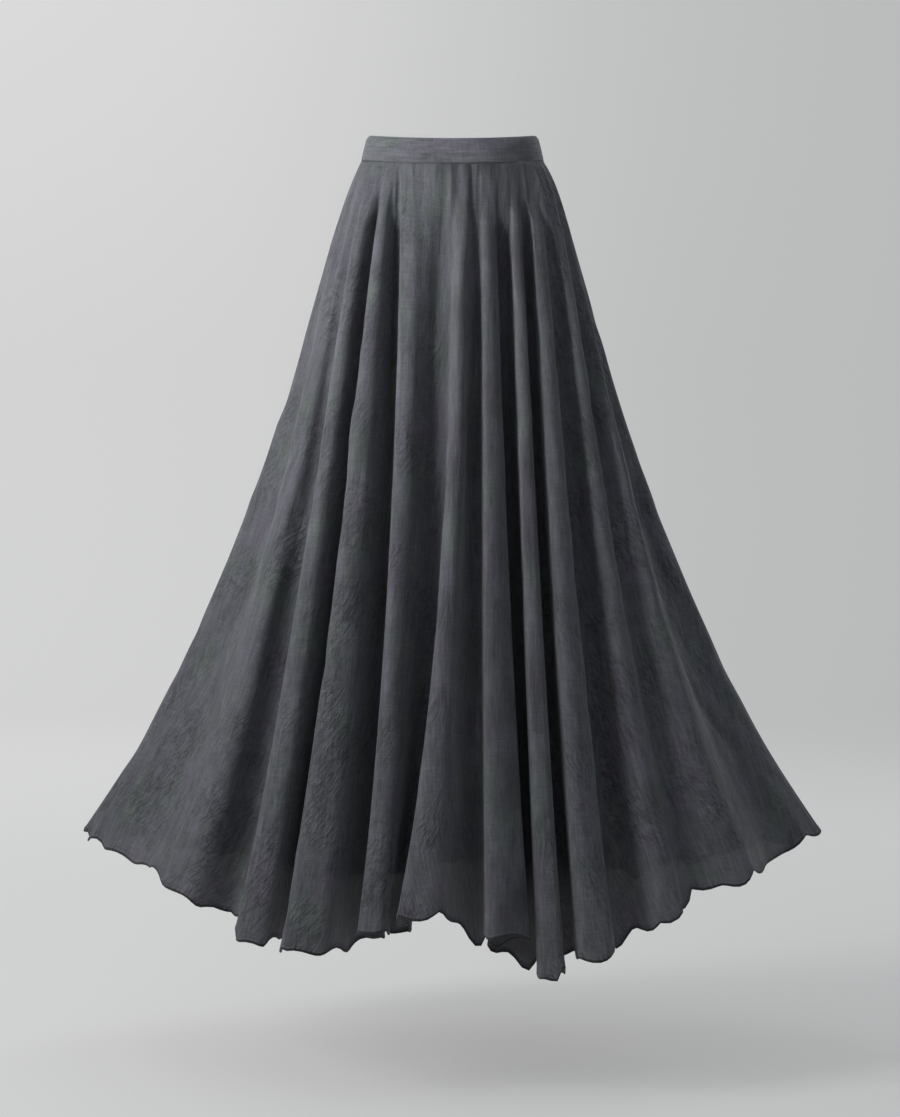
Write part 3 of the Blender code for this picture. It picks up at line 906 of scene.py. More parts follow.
def shell_object(
    name: str, outer: np.ndarray, inner: np.ndarray, grain: np.ndarray, to_hem: np.ndarray
) -> bpy.types.Object:
    """A closed shell between two grids whose last rows are one line.

    Args:
        name: The new object's name.
        outer: Outer points, rows down and columns across.
        inner: Inner points of the same grid.
        grain: Flat places for each row of points and column of faces.
        to_hem: Metres from the hem for each point.

    Returns:
        The object, with its grain map and its distance from the hem.
    """
    rows, columns = outer.shape[:2]
    front = np.arange(rows * columns).reshape(rows, columns)
    back = front + rows * columns
    back[-1] = front[-1]
    points = np.concatenate((outer.reshape(-1, 3), inner[:-1].reshape(-1, 3)))
    hem = np.concatenate((to_hem.reshape(-1), to_hem[:-1].reshape(-1)))

    left_top, left_foot = grain[:-1, :, 0:2], grain[1:, :, 0:2]
    right_top, right_foot = grain[:-1, :, 2:4], grain[1:, :, 2:4]
    faces = [np.stack(quad_corners(front), axis=-1).reshape(-1, 4)]
    maps = [np.stack((left_top, left_foot, right_foot, right_top), axis=2).reshape(-1, 4, 2)]
    a, b, c, d = quad_corners(back)
    faces.append(np.stack((a, d, c, b), axis=-1).reshape(-1, 4))
    maps.append(np.stack((left_top, right_top, right_foot, left_foot), axis=2).reshape(-1, 4, 2))
    faces.append(np.stack((front[0, :-1], front[0, 1:], back[0, 1:], back[0, :-1]), axis=-1))
    maps.append(np.stack((left_top[0], right_top[0], right_top[0], left_top[0]), axis=1))
    for column, face_column in ((0, 0), (-1, -1)):
        top, foot = front[:-1, column], front[1:, column]
        under_top, under_foot = back[:-1, column], back[1:, column]
        first_edge, last_edge = (foot, top, under_top, under_foot), (top, foot, under_foot, under_top)
        order = first_edge if column == 0 else last_edge
        faces.append(np.stack(order, axis=-1))
        place = left_top[:, 0] if column == 0 else right_top[:, -1]
        maps.append(np.repeat(place[:, None, :], 4, axis=1))
    quads = np.concatenate(faces)
    flat = np.concatenate(maps)
    mesh = mesh_from(name, points, [tuple(dict.fromkeys(q)) for q in quads.tolist()])
    kept = [q[i] != q[i - 1] for q in quads.tolist() for i in range(4)]
    layer = mesh.uv_layers.new(name=GRAIN_UV)
    layer.data.foreach_set("uv", flat.reshape(-1, 2)[np.array(kept)].astype(np.float32).ravel())
    near = hem[quads[:, :2]].max(axis=1) < SHEER_HEIGHT
    mesh.polygons.foreach_set("material_index", near.astype(np.int32))
    attribute = mesh.attributes.new(HEM_ATTRIBUTE, "FLOAT", "POINT")
    attribute.data.foreach_set("value", hem.astype(np.float32))
    return new_object(name, mesh)


def mesh_from(name: str, points: np.ndarray, faces: list[tuple[int, ...]]) -> bpy.types.Mesh:
    """A smooth mesh from points and faces.

    Args:
        name: The mesh's name.
        points: One row of x, y and z for each point.
        faces: The points of each face, in order.

    Returns:
        The new mesh.
    """
    mesh = bpy.data.meshes.new(name)
    mesh.from_pydata([tuple(p) for p in points.tolist()], [], faces)
    mesh.update()
    mesh.shade_smooth()
    return mesh


def new_object(name: str, mesh: bpy.types.Mesh) -> bpy.types.Object:
    """Links a mesh into the scene at the origin."""
    item = bpy.data.objects.new(name, mesh)
    bpy.context.scene.collection.objects.link(item)
    return item


@dataclass
class Waistband:
    """One length of waistband: cloth folded over at the top, flat or gathered on elastic."""

    form: WaistForm
    side: Side
    columns: int
    edge_round: float = 0.0007
    pillow: float = 0.0004
    stitch_off: float = 0.00045
    stitch_margin_deg: float = 1.0
    casing_rows: tuple[float, float] = (0.0060, 0.0285)
    gather_ease: float = 1.25
    fold_steps: int = 7
    face_steps: int = 14
    inner_steps: int = 8
    corner_turns_deg: tuple[float, ...] = (30.0, 60.0, 90.0)

    def name(self) -> str:
        """The band's name, which is not its node's."""
        return f"linen_band_{self.side.value}"

    def span(self) -> tuple[float, float]:
        """Its first and last angle from centre front."""
        return (-90.0, 90.0) if self.side is Side.FRONT else (90.0, 270.0)

    def section(self) -> np.ndarray:
        """Draws its cross-section, from the fold at the top round the foot and up the inside.

        Returns:
            Rows of depth below the top and distance in from the outer face.
        """
        height, wall, corner = self.form.height, self.form.wall, self.edge_round
        fold = [
            (wall / 2 * (1.0 - math.cos(turn)), wall / 2 * (1.0 - math.sin(turn)))
            for turn in np.radians(np.linspace(-90.0, 90.0, self.fold_steps))
        ]
        outer = [
            (depth, -self.pillow * math.sin(math.pi * depth / height))
            for depth in np.linspace(wall, height - corner, self.face_steps)
        ]
        foot = [
            (height - corner * (1.0 - math.sin(turn)), corner * (1.0 - math.cos(turn)))
            for turn in np.radians(self.corner_turns_deg)
        ]
        inner = [(depth, wall) for depth in np.linspace(height, wall, self.inner_steps)]
        return np.array(fold + outer + foot + inner)

    def build(self) -> bpy.types.Object:
        """Sweeps the cross-section along the waist and closes both ends.

        Returns:
            The band, with its grain map.
        """
        first, last = self.span()
        deg = np.linspace(first, last, self.columns + 1)[None, :]
        section = self.section()
        depth = section[:, 0][:, None]
        form = self.form
        half_width = form.half_width(depth)
        half_depth = half_width * form.depth_ratio
        side, ahead = oval_normal(deg, form.seam_half_width, form.seam_half_width * form.depth_ratio)
        move = -section[:, 1][:, None]
        if self.side is Side.BACK:
            move = move + form.gather_height * form.gathers(deg)
        x = half_width * np.sin(np.radians(deg)) + move * side
        y = -half_depth * np.cos(np.radians(deg)) + move * ahead
        z = -form.dip(deg) - depth + 0.0 * deg
        points = np.stack((x, y, z), axis=-1)
        for end, other in ((0, 1), (-1, -2)):
            points[:, end] += unit(points[:, other] - points[:, end]) * form.seam_gap / 2
        return self.sweep(points, section)

    def cut(self) -> tuple[float, float]:
        """Measures the face that shows, as it lies flat before the elastic gathers the back.

        Returns:
            Its length and height.
        """
        half_depth = self.form.seam_half_width * self.form.depth_ratio
        half_round = math.pi / 2 * (self.form.seam_half_width + half_depth)
        length = half_round * (1.0 if self.side is Side.FRONT else self.gather_ease)
        return length, self.form.height

    def casing_line(self, depth: float) -> np.ndarray:
        """Finds where a row of stitches runs round the gathered band.

        Args:
            depth: How far the row lies below the band's top.

        Returns:
            A row of points just off the cloth.
        """
        first, last = self.span()
        deg = np.linspace(first + self.stitch_margin_deg, last - self.stitch_margin_deg, 2 * self.columns)
        form = self.form
        half_width = float(form.half_width(depth))
        side, ahead = oval_normal(deg, form.seam_half_width, form.seam_half_width * form.depth_ratio)
        move = form.gather_height * form.gathers(deg) + self.stitch_off
        x = half_width * np.sin(np.radians(deg)) + move * side
        y = -half_width * form.depth_ratio * np.cos(np.radians(deg)) + move * ahead
        return np.stack((x, y, -form.dip(deg) - depth), axis=-1)

    def sweep(self, points: np.ndarray, section: np.ndarray) -> bpy.types.Object:
        """A closed bar from a ring of points at each column.

        Args:
            points: The ring's points in rows, its places along the band in columns.
            section: The flat cross-section, for the grain map.

        Returns:
            The bar, with its grain map turned so that the thread runs along the band.
        """
        ring, columns = points.shape[:2]
        index = np.arange(ring * columns).reshape(ring, columns)
        after = np.roll(index, -1, axis=0)
        quads = np.stack((index[:, :-1], after[:, :-1], after[:, 1:], index[:, 1:]), axis=-1)
        run = np.concatenate(((0.0,), np.cumsum(np.linalg.norm(np.diff(section, axis=0), axis=1))))
        closing = run[-1] + float(np.linalg.norm(section[0] - section[-1]))
        along = np.cumsum(np.linalg.norm(np.diff(points[ring // 2], axis=0), axis=1))
        u = np.concatenate(((0.0,), along))
        v = np.append(run, closing)
        corner = np.zeros((ring, columns - 1, 4, 2))
        corner[:, :, 0] = np.stack(np.broadcast_arrays(u[None, :-1], v[:-1, None]), axis=-1)
        corner[:, :, 1] = np.stack(np.broadcast_arrays(u[None, :-1], v[1:, None]), axis=-1)
        corner[:, :, 2] = np.stack(np.broadcast_arrays(u[None, 1:], v[1:, None]), axis=-1)
        corner[:, :, 3] = np.stack(np.broadcast_arrays(u[None, 1:], v[:-1, None]), axis=-1)
        faces = [tuple(q) for q in quads.reshape(-1, 4).tolist()]
        faces.append(tuple(index[:, 0].tolist()[::-1]))
        faces.append(tuple(index[:, -1].tolist()))
        mesh = mesh_from(self.name(), points.reshape(-1, 3), faces)
        caps = np.zeros((2 * ring, 2))
        layer = mesh.uv_layers.new(name=GRAIN_UV)
        flat = np.concatenate((corner.reshape(-1, 2), caps))[:, ::-1]
        layer.data.foreach_set("uv", flat.astype(np.float32).ravel())
        attribute = mesh.attributes.new(HEM_ATTRIBUTE, "FLOAT", "POINT")
        attribute.data.foreach_set("value", np.ones(len(mesh.vertices), np.float32))
        return new_object(self.name(), mesh)


class Streak(NamedTuple):
    """A noise on the cloth: its features to the metre both ways, its start, detail and roughness."""

    across: float
    down: float
    shift: float
    detail: float
    rough: float = 0.5


WARP_THREADS = Streak(430.0, 42.0, 0.0, 2.0, 0.6)
WEFT_THREADS = Streak(42.0, 430.0, 3.0, 2.0, 0.6)
LONG_THREADS = Streak(230.0, 8.0, 7.0, 1.0)
WARP_SLUBS = Streak(260.0, 30.0, 11.0, 1.0)
WEFT_SLUBS = Streak(30.0, 260.0, 17.0, 1.0)
WRINKLES = Streak(165.0, 36.0, 5.0, 2.0)
WARM_DYE = Streak(24.0, 12.0, 2.0, 2.0)
COOL_DYE = Streak(20.0, 10.0, 21.0, 2.0)
DYE_SHADE = Streak(52.0, 20.0, 31.0, 3.0, 0.65)
SHIFT_SKEW = 0.7


class NodeWork:
    """Short ways to add and join nodes in one tree."""

    def __init__(self, tree: bpy.types.NodeTree) -> None:
        """Works in this tree."""
        self.tree = tree

    def add(self, kind: str, inputs: dict | None = None, **settings: object) -> bpy.types.Node:
        """Adds a node, sets its properties and fills or joins its inputs.

        Args:
            kind: The node's type name.
            inputs: Values, or sockets to join from, by input name or number.
            **settings: Properties of the node.

        Returns:
            The new node.
        """
        node = self.tree.nodes.new(kind)
        for key, value in settings.items():
            setattr(node, key, value)
        for key, value in (inputs or {}).items():
            if isinstance(value, bpy.types.NodeSocket):
                self.tree.links.new(value, node.inputs[key])
            else:
                node.inputs[key].default_value = value
        return node

    def math(self, operation: str, first: object, second: object = 0.0) -> bpy.types.NodeSocket:
        """The result of a Math node on two numbers or sockets."""
        return self.add("ShaderNodeMath", {0: first, 1: second}, operation=operation).outputs[0]

    def times(self, first: object, second: object) -> bpy.types.NodeSocket:
        """One number or socket times another."""
        return self.math("MULTIPLY", first, second)

    def plus(self, *parts: object) -> bpy.types.NodeSocket:
        """The sum of numbers or sockets, from the first on."""
        total = parts[0]
        for part in parts[1:]:
            total = self.math("ADD", total, part)
        return total

    def ramp(
        self, value: object, low: float, high: float, to_low: float = 0.0, to_high: float = 1.0
    ) -> bpy.types.NodeSocket:
        """A value carried softly from one range to another and held at its ends.

        Args:
            value: The number or socket.
            low: Where the first range starts.
            high: Where the first range ends.
            to_low: What low becomes.
            to_high: What high becomes.

        Returns:
            The carried value.
        """
        node = self.add(
            "ShaderNodeMapRange",
            {"Value": value, "From Min": low, "From Max": high, "To Min": to_low, "To Max": to_high},
            interpolation_type="SMOOTHSTEP",
        )
        return node.outputs["Result"]

    def noise(
        self, vector: object, scale: float, detail: float = 2.0, rough: float = 0.5
    ) -> bpy.types.NodeSocket:
        """A plain noise.

        Args:
            vector: The places.
            scale: Its features to the unit of length.
            detail: How many finer layers it has.
            rough: How strong they are.

        Returns:
            The noise, from about -0.5 to 0.5.
        """
        node = self.add(
            "ShaderNodeTexNoise", {"Vector": vector, "Scale": scale, "Detail": detail, "Roughness": rough}
        )
        return self.math("SUBTRACT", node.outputs["Fac"], 0.5)

    def streaks(
        self, vector: object, streak: Streak, turn: bpy.types.NodeSocket | None = None
    ) -> bpy.types.NodeSocket:
        """A noise drawn out one way over flat places.

        Args:
            vector: The flat places.
            streak: The noise's sizes.
            turn: The angle that the places are turned by first, where there is one.

        Returns:
            The noise, from about -0.5 to 0.5.
        """
        if turn is not None:
            around = self.add(
                "ShaderNodeVectorRotate", {"Vector": vector, "Angle": turn}, rotation_type="Z_AXIS"
            )
            vector = around.outputs[0]
        shift = (streak.shift, streak.shift * SHIFT_SKEW, streak.shift)
        scale = (streak.across, streak.down, 1.0)
        drawn = self.add("ShaderNodeMapping", {"Vector": vector, "Scale": scale, "Location": shift})
        return self.noise(drawn.outputs[0], 1.0, streak.detail, streak.rough)


def new_group(name: str, inputs: dict[str, float | None], outputs: dict[str, str]) -> bpy.types.NodeTree:
    """A shader node group with its sockets.

    Args:
        name: The group's name.
        inputs: Each input's default, or None for a vector.
        outputs: Each output's socket type.

    Returns:
        The group's tree, with nothing in it but its sockets.
    """
    tree = bpy.data.node_groups.new(name, "ShaderNodeTree")
    for key, default in inputs.items():
        kind = "NodeSocketVector" if default is None else "NodeSocketFloat"
        socket = tree.interface.new_socket(key, in_out="INPUT", socket_type=kind)
        if default is not None:
            socket.default_value = default
    for key, kind in outputs.items():
        tree.interface.new_socket(key, in_out="OUTPUT", socket_type=kind)
    return tree


def weave_group() -> bpy.types.NodeTree:
    """Plain-woven linen: uneven threads both ways, with slubs.

    Returns:
        A group that puts out a height in millimetres and a shade round 1.
    """
    tree = new_group(
        "linen_weave",
        {"Place": None, "Thread mm": 0.9, "Streak": 0.3, "Slub": 0.4, "Relief": 0.12},
        {"Height": "NodeSocketFloat", "Shade": "NodeSocketFloat"},
    )
    weft_share = 0.6
    long_share = 0.6
    slub_shade = 0.5
    slub_from, slub_to = 0.10, 0.22
    cross_relief = 0.35
    thread_relief = 2.0
    work = NodeWork(tree)
    given = work.add("NodeGroupInput").outputs
    place = given["Place"]
    apart = work.add("ShaderNodeSeparateXYZ", {0: place}).outputs
    per_thread = work.math("DIVIDE", math.pi / MM, given["Thread mm"])
    warp = work.math("SINE", work.times(apart[0], per_thread))
    weft = work.math("SINE", work.times(apart[1], per_thread))
    warp_slubs = work.ramp(work.streaks(place, WARP_SLUBS), slub_from, slub_to)
    weft_slubs = work.ramp(work.streaks(place, WEFT_SLUBS), slub_from, slub_to)
    threads = work.plus(
        work.streaks(place, WARP_THREADS), work.times(work.streaks(place, WEFT_THREADS), weft_share)
    )
    drawn = work.plus(threads, work.times(work.streaks(place, LONG_THREADS), long_share))
    slubs = work.times(work.math("SUBTRACT", weft_slubs, warp_slubs), slub_shade)
    shade = work.plus(work.times(drawn, given["Streak"]), work.times(slubs, given["Slub"]), 1.0)
    relief = work.plus(work.times(work.times(warp, weft), cross_relief), work.times(threads, thread_relief))
    relief = work.plus(relief, work.plus(warp_slubs, weft_slubs))
    work.add("NodeGroupOutput", {"Height": work.times(relief, given["Relief"]), "Shade": shade})
    return tree


def crumple_group() -> bpy.types.NodeTree:
    """Small wrinkles that lean one way on each side of the skirt, fine lines among them.

    Returns:
        A group that puts out a height in millimetres, and a mask of the fine lines.
    """
    tree = new_group(
        "linen_crumple",
        {"Place": None, "Aside": 0.0, "Line mm": 0.2, "Lean mm": 1.0, "Dent mm": 2.0},
        {"Height": "NodeSocketFloat", "Line": "NodeSocketFloat"},
    )
    right_lean_deg, left_lean_deg = 35.0, -30.0
    turn_from, turn_to = -0.02, 0.12
    patch_scale, dent_scale = 11.0, 30.0
    patch_from, patch_to, patch_least = -0.10, 0.12, 0.15
    line_reach = 0.07
    work = NodeWork(tree)
    given = work.add("NodeGroupInput").outputs
    place = given["Place"]
    patch = work.ramp(work.noise(place, patch_scale, 1.0), patch_from, patch_to, patch_least, 1.0)
    turn = work.ramp(
        given["Aside"], turn_from, turn_to, math.radians(right_lean_deg), math.radians(left_lean_deg)
    )
    lean = work.streaks(place, WRINKLES, turn)
    line = work.times(work.ramp(work.math("ABSOLUTE", lean), 0.0, line_reach, 1.0, 0.0), patch)
    height = work.times(work.times(lean, patch), given["Lean mm"])
    height = work.math("SUBTRACT", height, work.times(line, given["Line mm"]))
    height = work.plus(height, work.times(work.noise(place, dent_scale), given["Dent mm"]))
    work.add("NodeGroupOutput", {"Height": height, "Line": line})
    return tree


def tone_group() -> bpy.types.NodeTree:
    """Broad changes of tone in the dye.

    Returns:
        A group that puts out a warm mask and a cool mask from 0 to 1, and a shade round 1.
    """
    tree = new_group(
        "dye_tone",
        {"Place": None, "Change": 0.1},
        {"Warm": "NodeSocketFloat", "Cool": "NodeSocketFloat", "Shade": "NodeSocketFloat"},
    )
    work = NodeWork(tree)
    given = work.add("NodeGroupInput").outputs
    place = given["Place"]
    warm_edge, cool_edge = (0.0, 0.16), (-0.02, 0.14)
    warm = work.ramp(work.streaks(place, WARM_DYE), *warm_edge)
    cool = work.ramp(work.streaks(place, COOL_DYE), *cool_edge)
    shade = work.plus(work.times(work.streaks(place, DYE_SHADE), given["Change"]), 1.0)
    work.add("NodeGroupOutput", {"Warm": warm, "Cool": cool, "Shade": shade})
    return tree


@dataclass(frozen=True)
class Linen:
    """Dark charcoal linen: its dye, its weave and how soft and sheer it is, with painted shade along the
    rolled hem and along its fine crease lines.
    """

    name: str
    base: Colour = (0.085, 0.088, 0.099, 1.0)
    warm: Colour = (0.087, 0.097, 0.094, 1.0)
    cool: Colour = (0.091, 0.087, 0.107, 1.0)
    # roll is painted shade: the colour that darkens the rolled hem's last few millimetres
    roll: Colour = (0.024, 0.024, 0.028, 1.0)
    glow: Colour = (0.20, 0.20, 0.22, 1.0)
    sheer: float = 0.16
    thin: float = 1.0
    streak: float = 1.00
    slub: float = 0.30
    relief: float = 0.15
    line: float = 0.45
    # Painted shade in the fine crease lines: how much they darken the colour
    ink: float = 0.42
    lean: float = 2.3
    dent: float = 2.6
    change: float = 0.95
    roughness: float = 0.85
    rough_slack: float = 0.05
    smooth_thread: float = 0.08
    shade_span: tuple[float, float] = (0.7, 1.3)
    least_shade: float = 0.3
    sheen: float = 0.18
    sheen_roughness: float = 0.5
    specular: float = 0.25
    roll_shade_edge: tuple[float, float] = (0.0020, 0.0034)
    turned_edge: tuple[float, float] = (0.0050, 0.0070)
    sheer_edge: tuple[float, float] = (0.050, 0.140)

    def material(self, groups: dict[str, bpy.types.NodeTree]) -> bpy.types.Material:
        """Builds the cloth's material from the shared groups.

        Args:
            groups: The weave, crumple and tone groups by name.

        Returns:
            The new material.
        """
        made = bpy.data.materials.new(self.name)
        made.use_nodes = True
        tree = made.node_tree
        tree.nodes.clear()
        work = NodeWork(tree)
        place = work.add("ShaderNodeUVMap", uv_map=GRAIN_UV).outputs[0]
        weave = work.add("ShaderNodeGroup", node_tree=groups["weave"])
        crumple = work.add("ShaderNodeGroup", node_tree=groups["crumple"])
        tone = work.add("ShaderNodeGroup", node_tree=groups["tone"])
        for node in (weave, crumple, tone):
            tree.links.new(place, node.inputs["Place"])
        weave.inputs["Streak"].default_value = self.streak
        weave.inputs["Slub"].default_value = self.slub
        weave.inputs["Relief"].default_value = self.relief
        aside = work.add("ShaderNodeSeparateXYZ", {0: work.add("ShaderNodeTexCoord").outputs["Object"]})
        tree.links.new(aside.outputs[0], crumple.inputs["Aside"])
        crumple.inputs["Line mm"].default_value = self.line
        crumple.inputs["Lean mm"].default_value = self.lean
        crumple.inputs["Dent mm"].default_value = self.dent
        tone.inputs["Change"].default_value = self.change
        warmed = self.mix(work, tone.outputs["Warm"], self.base, self.warm)
        cooled = self.mix(work, tone.outputs["Cool"], warmed, self.cool)
        near = work.add("ShaderNodeAttribute", attribute_name=HEM_ATTRIBUTE).outputs["Fac"]
        # Painted shade: the rolled hem's last few millimetres are darkened towards the roll colour
        rolled = work.ramp(near, *self.roll_shade_edge, 1.0, 0.0)
        roll_shaded = self.mix(work, rolled, cooled, self.roll)
        shade = work.times(weave.outputs["Shade"], tone.outputs["Shade"])
        # Painted shade: the colour is darkened along the fine crease lines
        crease_shaded = work.math("SUBTRACT", 1.0, work.times(crumple.outputs["Line"], self.ink))
        shade = work.math("MAXIMUM", work.times(shade, crease_shaded), self.least_shade)
        shaded = work.add(
            "ShaderNodeVectorMath", {0: roll_shaded, 1: self.grey(work, shade)}, operation="MULTIPLY"
        ).outputs[0]
        height = work.plus(weave.outputs["Height"], crumple.outputs["Height"])
        bump = work.add("ShaderNodeBump", {"Height": height, "Distance": MM, "Strength": 1.0})
        slack, taut = self.roughness + self.rough_slack, self.roughness - self.smooth_thread
        rough = work.ramp(weave.outputs["Shade"], *self.shade_span, slack, taut)
        shader = work.add(
            "ShaderNodeBsdfPrincipled",
            {"Base Color": shaded, "Normal": bump.outputs[0], "Roughness": rough},
        )
        shader.inputs["Specular IOR Level"].default_value = self.specular
        shader.inputs["Sheen Weight"].default_value = self.sheen
        shader.inputs["Sheen Roughness"].default_value = self.sheen_roughness
        if self.thin < 1.0:
            turned_up = work.ramp(near, *self.turned_edge, 1.0, 0.0)
            alone = work.ramp(near, *self.sheer_edge, self.thin, 1.0)
            tree.links.new(work.math("MAXIMUM", turned_up, alone), shader.inputs["Alpha"])
        through = work.add("ShaderNodeBsdfTranslucent", {"Color": self.glow})
        blend = work.add(
            "ShaderNodeMixShader", {0: self.sheer, 1: shader.outputs[0], 2: through.outputs[0]}
        )
        work.add("ShaderNodeOutputMaterial", {"Surface": blend.outputs[0]})
        return made

    @staticmethod
    def mix(work: NodeWork, share: object, first: object, second: object) -> bpy.types.NodeSocket:
        """One colour carried towards another by a mask.

        Args:
            work: The tree's node work.
            share: The mask, from 0 for the first colour to 1 for the second.
            first: A colour, or a socket that gives one.
            second: A colour, or a socket that gives one.

        Returns:
            The mixed colour.
        """
        node = work.add("ShaderNodeMix", data_type="RGBA")
        for socket, value in zip((node.inputs[0], node.inputs[6], node.inputs[7]), (share, first, second)):
            if isinstance(value, bpy.types.NodeSocket):
                work.tree.links.new(value, socket)
            else:
                socket.default_value = value
        return node.outputs[2]

    @staticmethod
    def grey(work: NodeWork, value: object) -> bpy.types.NodeSocket:
        """A number as the same number in all three channels."""
        return work.add("ShaderNodeCombineXYZ", {0: value, 1: value, 2: value}).outputs[0]


class Lamp(NamedTuple):
    """A square soft light: where it stands, the point that it looks at, its side and its watts.

    spread_deg is how wide its beam is, narrow where a grid is fitted.
    """

    name: str
    place: Place
    aim: Place
    size: float
    power: float
    spread_deg: float = 180.0


LAMPS = (
    Lamp("key", (-2.8, -1.6, 1.05), (0.0, 0.0, -0.45), 1.4, 84.0),
    Lamp("waist", (-1.9, -1.8, 0.10), (-0.02, 0.0, -0.20), 0.6, 1.3, 22.0),
    Lamp("top", (-1.8, -0.8, 2.6), (0.1, 0.0, -1.2), 3.0, 22.0),
    Lamp("backdrop", (-2.5, 3.4, 2.8), (-0.8, 6.6, 0.3), 2.4, 118.0),
    Lamp("back", (2.4, 2.6, 1.2), (0.0, 0.0, -0.5), 1.6, 30.0),
)


@dataclass
class Studio:
    """Pale floor and backdrop in one sweep that glows with painted light, brighter on the left, soft light
    from the upper left, and the camera.
    """

    photo_width: int = 900
    photo_height: int = 1117
    focal_px: float = 3000.0
    distance: float = 4.0
    centre_column: float = 452.5
    horizon_row: float = 480.0
    eye_height: float = -0.457
    floor_height: float = -1.22
    sweep_radius: float = 1.2
    sweep_back: float = 5.6
    sweep_front: float = -7.0
    sweep_top: float = 4.5
    half_width: float = 9.0
    pale: Colour = (0.30, 0.30, 0.295, 1.0)
    # Painted light: the sweep glows in these colours, brighter on the left and dimmer on the right, at this
    # strength
    painted_light_left: Colour = (1.0, 1.0, 0.99, 1.0)
    painted_light_right: Colour = (0.80, 0.80, 0.80, 1.0)
    glow: float = 0.375
    painted_falloff_reach: float = 0.9
    paint_roughness: float = 0.9
    paint_specular: float = 0.1
    curve_steps: int = 17
    sky: Colour = (0.84, 0.92, 1.0, 1.0)
    sky_strength: float = 0.32

    def camera(self) -> None:
        """Sets the camera at the photograph's viewing angle."""
        data = bpy.data.cameras.new("camera")
        data.sensor_fit = "AUTO"
        data.sensor_width = 36.0
        data.lens = self.focal_px / self.photo_height * data.sensor_width
        item = bpy.data.objects.new("camera", data)
        bpy.context.scene.collection.objects.link(item)
        aside = (self.centre_column - self.photo_width / 2) / self.focal_px * self.distance
        pitch = math.atan((self.photo_height / 2 - self.horizon_row) / self.focal_px)
        item.location = (-aside, -self.distance, self.eye_height)
        item.rotation_euler = (math.pi / 2 - pitch, 0.0, 0.0)
        bpy.context.scene.camera = item

    def sweep(self) -> None:
        """Floor that curves up into the backdrop, as one stage piece, glowing with painted light that fades
        from left to right and lightens the skirt's shadow on it.
        """
        corner = [
            (
                self.sweep_back + self.sweep_radius * math.sin(angle),
                self.floor_height + self.sweep_radius * (1.0 - math.cos(angle)),
            )
            for angle in np.linspace(0.0, math.pi / 2, self.curve_steps)
        ]
        profile = [(self.sweep_front, self.floor_height), *corner, (corner[-1][0], self.sweep_top)]
        points = np.array([(x, y, z) for y, z in profile for x in (-self.half_width, self.half_width)])
        faces = [(2 * i, 2 * i + 1, 2 * i + 3, 2 * i + 2) for i in range(len(profile) - 1)]
        item = new_object("sweep", mesh_from("sweep", points, faces))
        paint_and_painted_light = bpy.data.materials.new("studio_paint_and_painted_light")
        paint_and_painted_light.use_nodes = True
        shader = paint_and_painted_light.node_tree.nodes["Principled BSDF"]
        work = NodeWork(paint_and_painted_light.node_tree)
        place = work.add("ShaderNodeSeparateXYZ", {0: work.add("ShaderNodeTexCoord").outputs["Object"]})
        # Painted light: the sweep's glow fades from the left colour to the right one across its width
        shift = work.ramp(place.outputs[0], -self.painted_falloff_reach, self.painted_falloff_reach)
        painted_falloff = Linen.mix(work, shift, self.painted_light_left, self.painted_light_right)
        paint_and_painted_light.node_tree.links.new(painted_falloff, shader.inputs["Emission Color"])
        shader.inputs["Emission Strength"].default_value = self.glow
        shader.inputs["Base Color"].default_value = self.pale
        shader.inputs["Roughness"].default_value = self.paint_roughness
        shader.inputs["Specular IOR Level"].default_value = self.paint_specular
        item.data.materials.append(paint_and_painted_light)

    @staticmethod
    def light(lamp: Lamp) -> None:
        """Hangs one lamp and turns it to the point that it looks at.

        Args:
            lamp: The lamp's place, aim, size and power.
        """
        data = bpy.data.lights.new(lamp.name, "AREA")
        data.size = lamp.size
        data.energy = lamp.power
        data.spread = math.radians(lamp.spread_deg)
        item = bpy.data.objects.new(lamp.name, data)
        item.location = lamp.place
        item.rotation_euler = (Vector(lamp.aim) - Vector(lamp.place)).to_track_quat("-Z", "Y").to_euler()
        bpy.context.scene.collection.objects.link(item)

    def build(self) -> None:
        """Sets up the whole studio."""
        self.camera()
        self.sweep()
        for lamp in LAMPS:
            self.light(lamp)
        world = bpy.data.worlds.new("studio")
        bpy.context.scene.world = world
        world.use_nodes = True
        background = world.node_tree.nodes["Background"]
        background.inputs[0].default_value = self.sky
        background.inputs[1].default_value = self.sky_strength
        settings = bpy.context.scene.view_settings
        settings.view_transform = "Standard"
        settings.look = "None"


